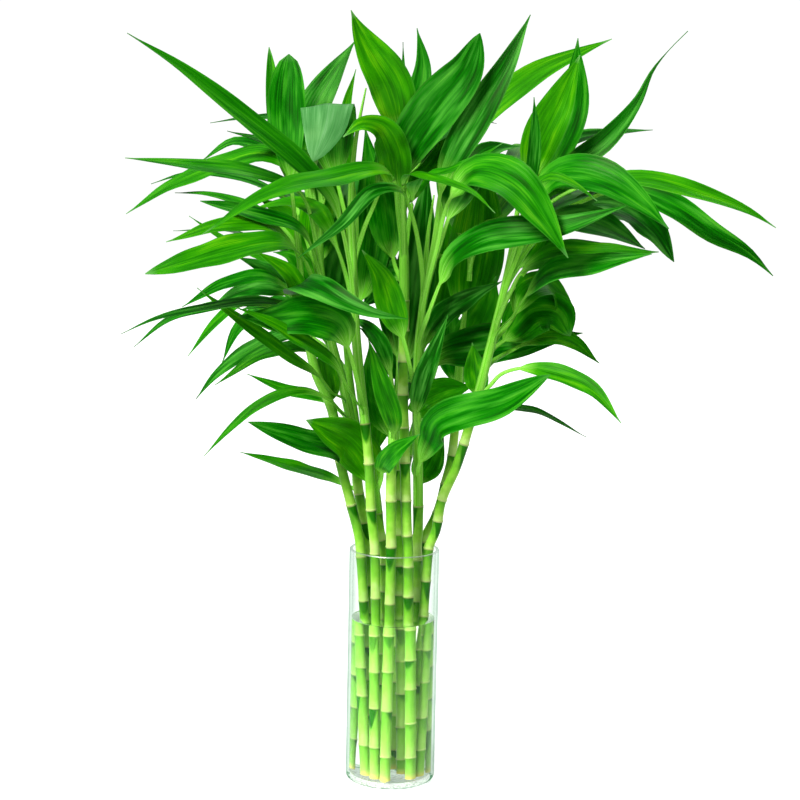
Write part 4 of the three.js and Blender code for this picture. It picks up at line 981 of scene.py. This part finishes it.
# ---- setting ----
def add_floor():
    bpy.ops.mesh.primitive_plane_add(size=14, location=(0, 0, 0))
    floor = bpy.context.object
    floor.name = "floor"
    floor.data.materials.append(floor_material())


def add_sun(name, towards, angle, strength):
    """A broad, far lamp that shines along towards."""
    lamp = bpy.data.lights.new(name, "SUN")
    lamp.angle = math.radians(angle)
    lamp.energy = strength
    holder = bpy.data.objects.new(name, lamp)
    holder.rotation_euler = Vector(towards).to_track_quat("-Z", "Y").to_euler()
    bpy.context.scene.collection.objects.link(holder)


def add_world():
    """A white room: seen as plain white, and lighting the plant more from above than from below."""
    n = Nodes(bpy.data.worlds.new("studio"), "World")
    height = n.new("SeparateXYZ", {0: n.new("TexCoord").outputs["Generated"]}).outputs["Z"]
    walls = n.ramp(height, [(0.0, (ROOM_BELOW,) * 3), (0.9, (1, 1, 1))])
    light = n.new("Background", {"Color": walls, "Strength": ROOM_LIGHT})
    seen = n.new("Background", {"Color": (1, 1, 1), "Strength": ROOM_SEEN})
    n.show_both(n.looked_at(), light.outputs[0], seen.outputs[0])
    bpy.context.scene.world = n.owner


def add_camera():
    camera = bpy.data.cameras.new("camera")
    camera.sensor_width = 36
    camera.lens = EYE_FOCAL / VIEW_SIZE * camera.sensor_width
    holder = bpy.data.objects.new("camera", camera)
    holder.location = (EYE_SIDE * MM, -EYE_DISTANCE * MM, EYE_HEIGHT * MM)
    holder.rotation_mode = "XYZ"
    pitch = Matrix.Rotation(math.pi / 2 - EYE_PITCH, 4, "X")
    roll = Matrix.Rotation(EYE_ROLL, 4, "Z")
    holder.rotation_euler = (pitch @ roll).to_euler()
    bpy.context.scene.collection.objects.link(holder)
    bpy.context.scene.camera = holder


def dress(piece, material, node):
    piece.data.materials.append(material)
    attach(piece, "root")
    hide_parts(node)


# ---- the scene ----
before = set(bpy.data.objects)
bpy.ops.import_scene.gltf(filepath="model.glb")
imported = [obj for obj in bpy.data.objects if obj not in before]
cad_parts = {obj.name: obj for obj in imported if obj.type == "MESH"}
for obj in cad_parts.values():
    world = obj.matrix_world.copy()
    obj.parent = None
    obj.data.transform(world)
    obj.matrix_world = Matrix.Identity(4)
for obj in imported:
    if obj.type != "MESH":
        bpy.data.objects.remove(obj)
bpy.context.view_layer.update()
draw = random.Random(SEED)
leaf_skin = leaf_material()
cane_skin = cane_material()
stalks = {letter: Stalk(*row) for letter, *row in STALKS}
leaves = {letter: [] for letter in stalks}
for letter, *row in LEAVES:
    leaves[letter].append(drawn_leaf(stalks[letter], *row))
for letter, *row in BACK_LEAVES:
    leaves[letter].append(back_leaf(stalks[letter], *row))

for number, (letter, stalk) in enumerate(stalks.items(), 1):
    cane = f"cane_{number:02d}"
    shoot = f"shoot_{number:02d}"
    dress(cane_piece(cane + "_skin", stalk, draw), cane_skin, cane)
    leafy = shoot_piece(shoot + "_leaves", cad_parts[shoot], stalk, leaves[letter], draw)
    dress(leafy, leaf_skin, shoot)

vase = lathe_piece("vase_glass", vase_profile(),
                   lip=lambda r, z: z > VASE_HEIGHT - LIP_ROUND,
                   base=lambda r, z: z < VASE_FLOOR + BASE_REACH,
                   heel=lambda r, z: z < HEEL_HEIGHT and r > VASE_DIAMETER / 2 - FOOT_ROUND,
                   inside=inside_of_vase)
dress(vase, glass_material(), "glass_vase")
water = lathe_piece("vase_water", water_profile(),
                    base=lambda r, z: z < VASE_FLOOR + BASE_REACH,
                    top=lambda r, z: z > WATER_LEVEL - SKIN)
dress(water, water_material(), "water")

add_floor()
add_world()
add_sun("key", *KEY_SUN)
add_sun("back", *BACK_SUN)
add_camera()
bpy.context.scene.view_settings.view_transform = "Standard"
